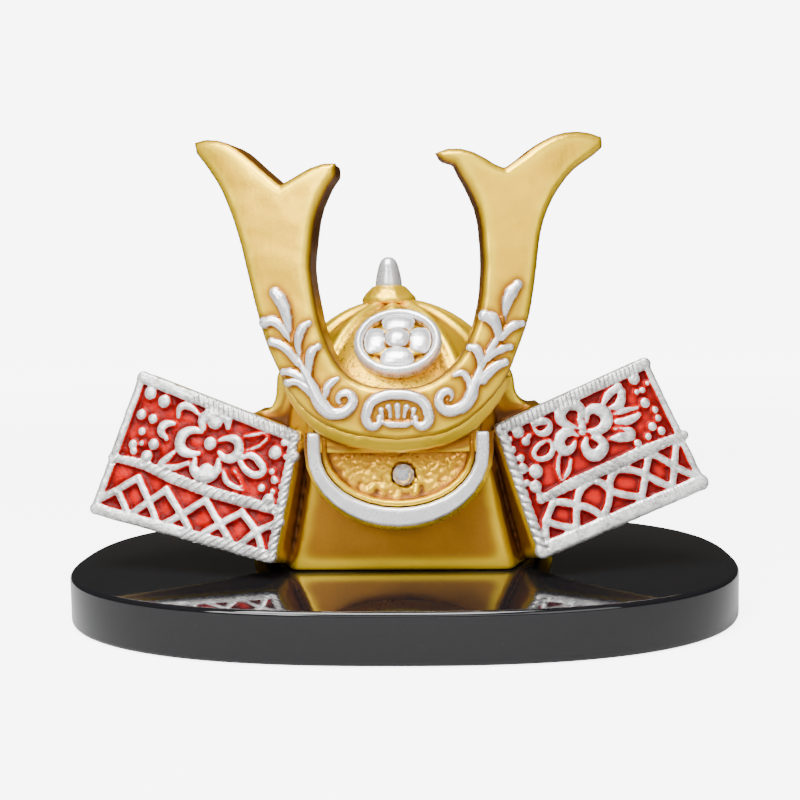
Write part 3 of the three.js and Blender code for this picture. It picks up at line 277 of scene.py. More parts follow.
def enamel_and_silver(name):
    """Glossy red in the pits, silver dragged over everything that stands up."""
    finish = Finish(name)
    finish.surface.inputs["Specular IOR Level"].default_value = 0.1
    raised = finish.attribute("raised")
    hollow = finish.attribute("hollow")
    drag = finish.noise(0.9 * MM, detail=5, stretch=(0.7, 1, 1.4))
    cloud = finish.noise(5 * MM)
    grain = finish.noise(0.6 * MM, detail=4)
    silvered = finish.step(raised + (drag - 0.5) * 0.9 + (0.5 - hollow) * 0.4, 0.47, 0.62)
    # Darker red in the hollows: painted shade.
    red_shade = finish.step(hollow + (cloud - 0.5) * 0.3, 0.5, 0.85)
    red = finish.mix(red_shade, RED_GLAZE, RED_SHADE)
    grey = finish.mix(finish.step(cloud + (drag - 0.5), 0.3, 0.8), (0.84, 0.84, 0.83), (0.36, 0.34, 0.33))
    # Dark grey in the hollows of the silver: painted shade.
    grey = finish.mix(finish.step(hollow, 0.5, 0.72) * 0.8, grey, (0.2, 0.16, 0.16))
    rough = silvered * 0.2 + (grain - 0.5) * 0.14 + 0.2
    height = grain * 0.5 + drag * 0.9
    return finish.feed(
        Base_Color=finish.mix(silvered, red, grey), Roughness=rough, Metallic=silvered * 0.75,
        Normal=finish.bump(height, 0.35, 0.4 * MM))


def black_lacquer(name):
    """Deep black gloss with a trace of dust and fine wiping marks."""
    finish = Finish(name, roughness=0.06, coat=0.35)
    finish.surface.inputs["Specular IOR Level"].default_value = 0.3
    dust = finish.noise(0.9 * MM, detail=6)
    cloud = finish.noise(50 * MM)
    speck = finish.step(dust, 0.68, 0.8) * 0.5
    base = finish.mix(speck, (0.006, 0.006, 0.007), (0.06, 0.06, 0.062))
    rough = speck * 0.2 + cloud * 0.05 + 0.035
    return finish.feed(Base_Color=base, Roughness=rough)


def cut_glass(name):
    """A small foil-backed stone: bright facets with a little grey in them."""
    finish = Finish(name, metallic=0.55, roughness=0.05, coat=1.0)
    cloud = finish.noise(1.6 * MM, detail=1)
    base = finish.mix(finish.step(cloud, 0.35, 0.65), (0.93, 0.95, 0.97), (0.5, 0.53, 0.58))
    return finish.feed(Base_Color=base)


# Modelling
def choose(*pieces):
    bpy.ops.object.select_all(action="DESELECT")
    for piece in pieces:
        piece.select_set(True)
    bpy.context.view_layer.objects.active = pieces[0]


def shaped(piece, kind, **settings):
    """Applies a modifier to a piece straight away."""
    choose(piece)
    modifier = piece.modifiers.new(kind.title(), kind)
    for name, value in settings.items():
        setattr(modifier, name, value)
    bpy.ops.object.modifier_apply(modifier=modifier.name)
    return piece


def joined(pieces):
    choose(*pieces)
    if len(pieces) > 1:
        bpy.ops.object.join()
    return bpy.context.object


def in_edit(piece, *steps):
    """Runs mesh operators on the whole of a piece."""
    choose(piece)
    bpy.ops.object.mode_set(mode="EDIT")
    bpy.ops.mesh.select_all(action="SELECT")
    for step in steps:
        step()
    bpy.ops.object.mode_set(mode="OBJECT")


def cad_copy(*nodes):
    """A copy of CAD nodes as one mesh, with its loose triangles merged."""
    copies = []
    for node in nodes:
        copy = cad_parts[node].copy()
        copy.data = copy.data.copy()
        copy.data.materials.clear()
        bpy.context.collection.objects.link(copy)
        copies.append(copy)
    piece = joined(copies)
    in_edit(piece, lambda: bpy.ops.mesh.remove_doubles(threshold=0.00001))
    return piece


def added(operator, place=(0, 0, 0), **settings):
    """A new primitive with its place applied."""
    bpy.ops.object.select_all(action="DESELECT")
    operator(location=place, **settings)
    piece = bpy.context.object
    bpy.ops.object.transform_apply(location=True, rotation=True, scale=True)
    return piece


def raise_by(piece, way):
    """Raises a flat shape into a block."""
    in_edit(piece, lambda: bpy.ops.mesh.extrude_region_move(TRANSFORM_OT_translate={"value": way}),
            lambda: bpy.ops.mesh.select_all(action="SELECT"),
            lambda: bpy.ops.mesh.normals_make_consistent(inside=False))


def ball(place, size, turn=0.0):
    """An egg of the given half sizes, turned in the face of a relief."""
    return added(bpy.ops.mesh.primitive_uv_sphere_add, place, segments=16, ring_count=10, radius=1,
                 rotation=(0, turn, 0), scale=size)


def hoop(depth, radius, tube, height):
    """A ring lying in the face of a relief: its middle radius, half width and half height."""
    ring = added(bpy.ops.mesh.primitive_torus_add, major_segments=24, minor_segments=10, major_radius=1,
                 minor_radius=tube / radius, rotation=(math.pi / 2, 0, 0))
    ring.data.transform(Matrix.Diagonal((radius, height / (tube / radius), radius, 1)))
    ring.data.transform(Matrix.Translation((0, depth, 0)))
    return ring


def ribbon(stations, height):
    """A rounded ribbon through (x, z, half width) stations. Its rise is height times its half width."""
    path = bpy.data.curves.new("ribbon", "CURVE")
    path.dimensions = "3D"
    path.bevel_depth = MM
    path.bevel_resolution = 3
    path.resolution_u = 6
    path.use_fill_caps = True
    spline = path.splines.new("BEZIER")
    spline.bezier_points.add(len(stations) - 1)
    for point, (x, z, half_width) in zip(spline.bezier_points, stations):
        point.co = (x * MM, 0, z * MM)
        point.radius = half_width
        point.handle_left_type = point.handle_right_type = "AUTO"
    strip = bpy.data.objects.new("ribbon", path)
    bpy.context.collection.objects.link(strip)
    choose(strip)
    bpy.ops.object.convert(target="MESH")
    strip = bpy.context.object
    ends = [ball((x * MM, 0, z * MM), (r * MM, r * MM, r * MM)) for x, z, r in (stations[0], stations[-1])]
    strip = joined([strip, *ends])
    strip.data.transform(Matrix.Diagonal((1, height, 1, 1)))
    return strip


def roughened(piece, size, rise, mask=""):
    """Hand-made unevenness of the given feature size and rise. With a mask it is hammered, and only there."""
    texture = bpy.data.textures.new(piece.name + "_surface", "CLOUDS")
    texture.noise_scale = size
    if mask:
        texture.noise_type = "HARD_NOISE"
    return shaped(piece, "DISPLACE", texture=texture, texture_coords="LOCAL", strength=rise, mid_level=0.5,
                  vertex_group=mask)


def points_of(piece, what="co"):
    values = np.empty(len(piece.data.vertices) * 3)
    piece.data.vertices.foreach_get(what, values)
    return values.reshape(-1, 3)


def move_points(piece, points):
    piece.data.vertices.foreach_set("co", np.asarray(points).ravel())
    piece.data.update()


def store(piece, name, values):
    layer = piece.data.attributes.new(name, "FLOAT", "POINT")
    layer.data.foreach_set("value", values)


def mark_hollows(piece, reach, rounds=30):
    """Stores hollow: about 0.5 on flat ground, towards 1 in a groove and towards 0 on an edge."""
    points, normals = points_of(piece), points_of(piece, "normal")
    ends = np.empty(len(piece.data.edges) * 2, int)
    piece.data.edges.foreach_get("vertices", ends)
    first, second = ends.reshape(-1, 2).T
    count = len(points)
    shared = np.maximum(np.bincount(first, minlength=count) + np.bincount(second, minlength=count), 1)

    def blurred(values):
        total = np.bincount(first, values[second], count) + np.bincount(second, values[first], count)
        return total / shared

    soft = points
    for _ in range(rounds):
        soft = np.stack([blurred(soft[:, axis]) for axis in range(3)], 1)
    depth = ((soft - points) * normals).sum(1)
    for _ in range(3):
        depth = blurred(depth)
    store(piece, "hollow", np.clip(0.5 + 0.5 * depth / reach, 0, 1))


def mark_low(piece, height):
    """Stores low: 1 where a relief stands less than height millimetres out, so the silver misses it."""
    store(piece, "low", np.clip(1.5 + (points_of(piece)[:, 1] / MM + height) / 0.6, 0, 1))


def cast(piece, voxel, smooth, factor=0.5):
    """Fuses overlapping shapes into one skin and softens it, as slip fills a mould."""
    shaped(piece, "REMESH", mode="VOXEL", voxel_size=voxel)
    if smooth:
        shaped(piece, "SMOOTH", factor=factor, iterations=smooth)
    return piece


def finished(piece, name, material, nodes, reach=0.5 * MM, rounds=30):
    """Names a piece, paints it, stores its hollows, attaches it to the root and hides the CAD nodes that it
    stands for.
    """
    piece.name = name
    piece.data.name = name
    piece.data.materials.clear()
    piece.data.materials.append(material)
    choose(piece)
    bpy.ops.object.shade_smooth()
    mark_hollows(piece, reach, rounds)
    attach(piece, "root")
    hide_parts(*nodes)


def crest_flat(piece):
    """Unrolls points from the crest's curve: x along the face, y into it and z up from its base."""
    x, y, z = points_of(piece).T
    x = x - HELMET_X
    height = z - CREST_BASE_Z
    inward = CREST_CURVE_RADIUS - (y - CREST_FRONT_Y - CREST_LEAN * height)
    radius = np.hypot(x, inward)
    flat_x = CREST_CURVE_RADIUS * x / radius
    move_points(piece, np.stack([flat_x, CREST_CURVE_RADIUS - radius, height], 1))
    return piece


def crest_curved(piece):
    """Rolls points back onto the crest's curve."""
    x, depth, height = points_of(piece).T
    angle = np.arcsin(x / CREST_CURVE_RADIUS)
    radius = CREST_CURVE_RADIUS - depth
    y = CREST_FRONT_Y + CREST_CURVE_RADIUS - radius * np.cos(angle) + CREST_LEAN * height
    move_points(piece, np.stack([radius * np.sin(angle) + HELMET_X, y, CREST_BASE_Z + height], 1))
    return piece


# Stand
lacquer = black_lacquer("black_lacquer")


def make_stand():
    low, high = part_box("stand")
    width, depth = high.x - low.x, high.y - low.y
    board = added(bpy.ops.mesh.primitive_circle_add, vertices=256, radius=1, fill_type="NGON")
    points = points_of(board)
    turn = np.arctan2(points[:, 1], points[:, 0])
    x = np.sign(np.cos(turn)) * np.abs(np.cos(turn)) ** (2 / STAND_POWER) * width / 2
    y = np.sign(np.sin(turn)) * np.abs(np.sin(turn)) ** (2 / STAND_POWER) * depth / 2
    move_points(board, np.stack([x, y, np.zeros_like(x)], 1))
    raise_by(board, (0, 0, DECK))
    shaped(board, "BEVEL", width=STAND_EDGE_ROUND, segments=5, limit_method="ANGLE",
           angle_limit=math.radians(50))
    finished(board, "stand_board", lacquer, ["stand"])
    choose(board)
    bpy.ops.object.shade_smooth_by_angle(angle=math.radians(40))


make_stand()

# Crest and its reliefs: leaf and ornament strokes as (x, z, half width) in millimetres, on the unrolled crest
SPRIG_LEFT = (
    ((-33.3, 40.2, 1.4), (-31.9, 38.6, 1.7), (-30.7, 36.4, 1.6), (-30.0, 33.8, 1.4), (-29.5, 30.7, 1.1),
     (-28.8, 27.9, 0.8)),
    ((-36.4, 32.1, 1.4), (-34.2, 32.5, 1.4), (-31.8, 31.2, 1.3), (-30.1, 29.0, 1.1), (-28.7, 26.2, 0.9)),
    ((-34.4, 26.7, 1.1), (-32.1, 26.0, 1.2), (-29.7, 24.5, 1.3), (-27.9, 22.3, 1.2), (-26.2, 19.5, 0.9)),
    ((-23.8, 31.8, 0.7), (-25.4, 30.5, 1.2), (-26.5, 28.2, 1.3), (-26.9, 25.4, 1.1), (-26.4, 22.5, 0.9)),
    ((-21.3, 25.3, 0.8), (-22.9, 23.9, 1.3), (-23.7, 21.7, 1.3), (-23.9, 18.9, 1.1), (-23.6, 16.1, 0.9)),
    ((-31.2, 18.3, 0.9), (-28.8, 18.2, 1.2), (-26.2, 16.9, 1.3), (-23.9, 14.7, 1.2)),
    ((-29.9, 15.5, 1.1), (-27.4, 15.8, 1.2), (-24.8, 14.5, 1.4), (-22.5, 12.2, 1.4)),
    ((-15.9, 16.5, 0.5), (-17.6, 15.5, 0.9), (-19.1, 13.4, 1.1), (-19.5, 10.8, 1.0), (-19.1, 8.0, 0.9)),
    ((-28.9, 28.5, 0.8), (-27.4, 24.2, 0.9), (-25.9, 20.3, 1.1), (-23.9, 16.1, 1.4), (-22.2, 12.7, 1.7),
     (-20.4, 9.5, 1.9),
     (-18.3, 7.4, 1.7), (-15.9, 7.0, 1.5), (-13.2, 8.1, 1.4), (-11.9, 10.3, 1.3), (-12.7, 12.1, 1.1),
     (-14.5, 12.3, 1.0),
     (-15.8, 11.0, 0.8), (-15.3, 9.6, 0.5)),
)
SPRIG_RIGHT = (
    ((33.5, 41.3, 1.2), (31.7, 39.2, 1.7), (30.5, 36.5, 1.4), (29.8, 33.4, 0.8), (29.2, 30.4, 0.6)),
    ((24.4, 33.0, 1.4), (26.4, 32.1, 1.7), (27.6, 30.1, 1.4), (28.1, 27.3, 1.2)),
    ((34.7, 30.7, 0.8), (32.5, 30.2, 1.2), (30.6, 29.0, 1.2), (28.7, 27.0, 1.1)),
    ((20.4, 24.4, 0.9), (21.8, 24.0, 1.3), (22.9, 22.3, 1.3), (23.1, 19.6, 1.1), (22.6, 16.6, 1.1)),
    ((31.3, 24.3, 0.8), (29.1, 24.0, 1.2), (26.8, 23.0, 1.2), (24.9, 21.3, 1.1)),
    ((29.9, 20.2, 0.9), (27.6, 19.4, 1.3), (25.5, 17.9, 1.4), (23.4, 15.7, 1.4)),
    ((15.9, 17.0, 0.5), (17.8, 17.5, 0.9), (19.5, 16.1, 1.1), (20.2, 13.9, 1.2), (20.3, 11.9, 1.3)),
    ((28.4, 28.7, 0.9), (27.3, 26.0, 1.1), (25.7, 23.5, 1.1), (24.2, 21.0, 1.1), (23.1, 18.5, 1.1),
     (22.1, 16.1, 1.3),
     (21.1, 13.8, 1.5), (20.3, 11.4, 1.7), (18.6, 8.9, 1.6), (16.3, 7.7, 1.5), (14.1, 7.5, 1.5),
     (12.3, 8.6, 1.3),
     (11.9, 10.7, 1.2), (13.0, 12.2, 1.1), (14.6, 12.2, 1.0), (14.8, 10.8, 0.7), (13.6, 10.0, 0.4)),
)
ARCH = (
    ((-4.5, 5.8, 0.8), (-5.0, 4.1, 1.1), (-6.6, 3.5, 1.4), (-8.0, 5.1, 1.5), (-7.8, 7.7, 1.5),
     (-6.3, 10.3, 1.5),
     (-3.4, 11.6, 1.5), (0.4, 12.0, 1.5), (4.3, 11.5, 1.5), (7.3, 9.9, 1.5), (8.6, 7.2, 1.5),
     (8.7, 4.9, 1.5),
     (7.2, 3.5, 1.4), (5.7, 4.0, 1.1), (5.2, 5.5, 0.8)),
)
FAN = (
    ((-3.7, 4.6, 0.7), (-2.0, 4.1, 1.0), (0.3, 3.9, 1.0), (2.6, 4.0, 1.0), (4.4, 4.5, 0.7)),
    ((-4.1, 7.8, 0.8), (-3.3, 5.6, 0.6)),
    ((-2.1, 8.7, 0.8), (-1.7, 5.9, 0.6)),
    ((0.4, 9.0, 0.8), (0.4, 5.9, 0.6)),
    ((2.9, 8.6, 0.8), (2.4, 5.9, 0.6)),
    ((4.8, 7.7, 0.8), (4.0, 5.6, 0.6)),
)

# Each relief's node, its strokes and how much fuller they are than drawn
CREST_RELIEFS = (
    ("sprig_left", SPRIG_LEFT, 1.25),
    ("sprig_right", SPRIG_RIGHT, 1.25),
    ("palmette_arch", ARCH, 1.1),
    ("palmette_fan", FAN, 1.1),
)


def make_crest():
    reliefs = {}
    for node, ribbons, plump in CREST_RELIEFS:
        strips = [ribbon([(x, z, plump * half) for x, z, half in stations], 0.95) for stations in ribbons]
        relief = joined(strips)
        cast(relief, 0.27 * MM, 2)
        mark_low(relief, 0.5)
        reliefs[node] = roughened(relief, 3 * MM, 0.15 * MM)
    crest = shaped(crest_flat(cad_copy("crest")), "DISPLACE", strength=CREST_FULLER, mid_level=0)
    crest.data.transform(Matrix.Translation((0, CREST_FULLER, 0)))
    cast(crest, 0.5 * MM, 3)
    roughened(crest, 14 * MM, 0.5 * MM)
    points = points_of(crest)
    tree = KDTree(sum(len(relief.data.vertices) for relief in reliefs.values()))
    for relief in reliefs.values():
        for vertex in relief.data.vertices:
            tree.insert((vertex.co.x, 0, vertex.co.z), len(crest.data.vertices))
    tree.balance()
    near = np.array([tree.find((x, 0, z))[2] for x, _, z in points]) / MM
    # Painted shade: a brown halo round the reliefs and over the palmette, on the crest's front only.
    front = np.clip(1 - points[:, 1] / (2 * MM), 0, 1)
    palmette = np.hypot(points[:, 0] / (7 * MM), points[:, 2] / (4.5 * MM) - 7 / 4.5) < 1
    store(crest, "wash", np.maximum(np.exp(-(near / 1.1) ** 2), 0.6 * palmette) * front)
    # Points deeper than the front face get the darker side-wall gold: painted shade, over some antique brown.
    store(crest, "wall", np.clip(points[:, 1] / (1.3 * MM) - 0.15, 0, 1))
    finished(crest_curved(crest), "crest_casting", crest_gold, ["crest"], 0.35 * MM, 24)
    for node, relief in reliefs.items():
        finished(crest_curved(relief), node + "_relief", relief_silver, [node], 0.3 * MM, 16)


crest_gold = gold_paint("crest_gold")
relief_silver = silver_paint("relief_silver")
make_crest()


# Casting: bowl, block, neck guard and wings in one skin
def cut_off(piece, place, towards):
    in_edit(piece, lambda: bpy.ops.mesh.bisect(plane_co=place, plane_no=towards, clear_outer=True,
                                               use_fill=True))


def on_bowl_front(rise):
    """From a relief's own place to the middle of the bowl's front, rise degrees above its rim."""
    rise = math.radians(rise)
    way = Vector((0, -math.cos(rise), math.sin(rise)))
    return Matrix.Translation(BOWL_RADIUS * way) @ Matrix.Rotation(-rise, 4, "X")


def make_bowl():
    foot = (0, 0, BOWL_FOOT)
    dome = added(bpy.ops.mesh.primitive_uv_sphere_add, segments=96, ring_count=64, radius=BOWL_RADIUS)
    cut_off(dome, foot, (0, 0, -1))
    rib = added(bpy.ops.mesh.primitive_torus_add, major_segments=128, minor_segments=10,
                major_radius=BOWL_RADIUS, minor_radius=RIB_TUBE, rotation=(0, math.pi / 2, 0))
    cut_off(rib, (0, 0, 0), (0, 1, 0))
    cut_off(rib, foot, (0, 0, -1))
    pieces = [dome]
    for turn in RIB_TURNS:
        copy = rib.copy()
        copy.data = rib.data.copy()
        bpy.context.collection.objects.link(copy)
        copy.data.transform(Matrix.Rotation(math.radians(turn), 4, "Z"))
        pieces.append(copy)
    bpy.data.objects.remove(rib)
    lobe = ball((0, 0, 0), LOBE_SIZE)
    lobe.data.transform(on_bowl_front(LOBE_RISE))
    whole = joined([*pieces, lobe])
    whole.data.transform(Matrix.Translation(BOWL_CENTRE) @ Matrix.Diagonal((BOWL_NARROWER, 1, 1, 1)))
    return whole


def web(outline):
    """A flat web of the casting, drawn from the front by (x, z) corners."""
    piece = added(bpy.ops.mesh.primitive_circle_add, vertices=len(outline), radius=1, fill_type="NGON")
    move_points(piece, [(HELMET_X + x * MM, WEB_FRONT, DECK + z * MM) for x, z in outline])
    raise_by(piece, (0, WEB_BACK - WEB_FRONT, 0))
    return piece


def make_body():
    walls = cad_copy("face_block", "neck_guard", "brow_band", "wing_left", "wing_right")
    shaped(walls, "DISPLACE", strength=WALL_GROWTH, mid_level=0)
    backing = added(bpy.ops.mesh.primitive_cube_add, BACKING_CENTRE, size=1, scale=BACKING_SIZE)
    webs = [web(outline) for outline in SHOULDER_WEBS]
    body = cast(joined([make_bowl(), walls, backing, *webs]), BODY_VOXEL, 5)
    points = points_of(body)
    away = (points - np.array(BOWL_CENTRE)) / (BOWL_NARROWER, 1, 1)
    reach = np.linalg.norm(away, axis=1)
    turn = np.degrees(np.arctan2(np.abs(away[:, 0]), -away[:, 1]))
    rise = math.radians(MEDALLION_RISE)
    medallion_way = np.array((0, -math.cos(rise), math.sin(rise)))
    from_medallion = np.degrees(np.arccos(np.clip(away @ medallion_way / reach, -1, 1)))
    above_rim = away[:, 2] > 0
    on_bowl = np.clip(1 - np.abs(reach - BOWL_RADIUS) / (1.5 * MM), 0, 1) * above_rim
    beside = (from_medallion < STIPPLE_OUTER) & (from_medallion > STIPPLE_INNER)
    # The bowl keeps the full gold face; the rest of the casting shows the darker body gold.
    store(body, "pale", np.clip(1 - (np.abs(reach - BOWL_RADIUS) - 1.5 * MM) / MM, 0, 1) * above_rim)
    store(body, "stipple", on_bowl * beside * np.clip((STIPPLE_OUTER - turn) / 4, 0, 1))
    nodes = ["helmet_bowl", "face_block", "neck_guard", "brow_band", "wing_left", "wing_right"]
    finished(body, "helmet_casting", body_gold, nodes, 0.6 * MM, 24)


# The darker gold of the block, neck guard, brow band and wings is partly a darker paint and partly painted
# shade under the visor and crest.
body_gold = gold_paint("body_gold", face=(0.38, 0.16, 0.005))
make_body()


# Crown
def turned(profile, centre):
    """A solid of revolution round an upright axis, from its radii and heights."""
    mesh = bpy.data.meshes.new("profile")
    mesh.from_pydata([(radius, 0, height) for radius, height in profile],
                     [(i, i + 1) for i in range(len(profile) - 1)], [])
    piece = bpy.data.objects.new("profile", mesh)
    bpy.context.collection.objects.link(piece)
    in_edit(piece,
            lambda: bpy.ops.mesh.spin(steps=64, angle=2 * math.pi, axis=(0, 0, 1)),
            lambda: bpy.ops.mesh.select_all(action="SELECT"),
            lambda: bpy.ops.mesh.remove_doubles(threshold=0.00002),
            lambda: bpy.ops.mesh.normals_make_consistent(inside=False))
    piece.data.transform(Matrix.Translation(centre))
    return piece


def turned_node(node, profile):
    """Turns a profile of shares of the radius and height of a CAD node, where that node stands."""
    low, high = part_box(node)
    centre = Vector(((low.x + high.x) / 2, (low.y + high.y) / 2, low.z))
    radius, height = (high.x - low.x) / 2, high.z - low.z
    return turned([(r * radius, h * height) for r, h in profile], centre)


def crown():
    skirt = [(0, -0.3), (0.5, -0.3), (0.62, 0.1), (0.9, 0.02), (1, 0.12), (0.98, 0.3), (0.88, 0.5),
             (0.74, 0.72), (0.6, 0.9), (0.4, 1), (0, 1)]
    collar = cast(turned_node("crown_collar", skirt), 0.35 * MM, 3)
    roughened(collar, 2.5 * MM, 0.5 * MM)
    finished(collar, "crown_collar_skirt", crest_gold, ["crown_collar"])
    profile = [(0, -0.2), (1, -0.2), (1, 0.02), (0.92, 0.28), (0.81, 0.52), (0.7, 0.72), (0.54, 0.88),
               (0.3, 0.975), (0, 1)]
    knob = cast(turned_node("crown_finial", profile), 0.3 * MM, 5)
    finished(knob, "crown_finial_knob", relief_silver, ["crown_finial"])


crown()


# Medallion
def medallion():
    place = Matrix.Translation((HELMET_X, *BOWL_CENTRE[1:])) @ on_bowl_front(MEDALLION_RISE)
    radius = MEDALLION_RADIUS
    ring = hoop(-0.6 * MM, radius - 1.35 * MM, 1.45 * MM, 2.1 * MM)
    cast(ring, 0.3 * MM, 3)
    mark_low(ring, 0.9)
    ring.data.transform(place)
    finished(ring, "medallion_ring_relief", relief_silver, ["medallion_ring"], 0.3 * MM)
    lobes = [ball((0, 2.4 * MM, 0), (radius - 2 * MM, 3.6 * MM, radius - 2 * MM))]
    for quarter in range(4):
        turn = quarter * math.pi / 2
        side = Vector((math.sin(turn), 0, math.cos(turn)))
        lobes.append(ball(side * 5.6 * MM + Vector((0, -0.9 * MM, 0)), (5 * MM, 1.1 * MM, 4 * MM), turn))
    ground = cast(joined(lobes), 0.35 * MM, 4)
    ground.data.transform(place)
    finished(ground, "medallion_field", crest_gold, ["medallion_ground"], 0.3 * MM)
    petals = []
    for quarter in range(4):
        turn = quarter * math.pi / 2
        side = Vector((math.sin(turn), 0, math.cos(turn)))
        petals.append(ball(side * 6 * MM + Vector((0, -1.6 * MM, 0)), (4.7 * MM, 1.7 * MM, 3.5 * MM), turn))
        petals.append(ball(side * 7.4 * MM + Vector((0, -1.4 * MM, 0)), (5 * MM, 1.5 * MM, 2.2 * MM), turn))
    petals.append(ball((0, -2.3 * MM, 0), (3.7 * MM, 2.3 * MM, 3.7 * MM)))
    flower = cast(joined(petals), 0.3 * MM, 2)
    mark_low(flower, 2)
    flower.data.transform(place)
    finished(flower, "medallion_blossom", relief_silver, ["medallion_flower"], 0.3 * MM)


medallion()

# Visor
visor_gold = gold_paint("visor_gold", face=(0.95, 0.53, 0.005), roughness=0.3)


def make_visor():
    visor = cast(cad_copy("visor"), 0.42 * MM, 3)
    points = points_of(visor) / MM - np.array((0.7, 0, DECK / MM + 36.5))
    spread = np.hypot(points[:, 0] / 18.5, np.minimum(points[:, 2], 0) / 13.4)
    field = visor.vertex_groups.new(name="field")
    weights = np.clip((1.02 - spread) / 0.12, 0, 1) * (points[:, 1] < -27)
    for weight in np.unique(np.round(weights, 1)):
        field.add(np.flatnonzero(np.round(weights, 1) == weight).tolist(), float(weight), "REPLACE")
    roughened(visor, 2.2 * MM, 1.6 * MM, mask="field")
    # Painted shadow darkening the visor's front towards its top, under the crest and brow band.
    store(visor, "wash", np.clip((points[:, 2] + 8) / 7, 0, 1) * (points[:, 1] < -27))
    finished(visor, "visor_field", visor_gold, ["visor"], 0.25 * MM, 12)


make_visor()
rim = cast(cad_copy("visor_rim"), 0.35 * MM, 8)
finished(rim, "visor_rim_band", relief_silver, ["visor_rim"], 0.4 * MM)
stone_finish = cut_glass("cut_glass")
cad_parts["visor_stone"].data.materials.clear()
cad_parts["visor_stone"].data.materials.append(stone_finish)

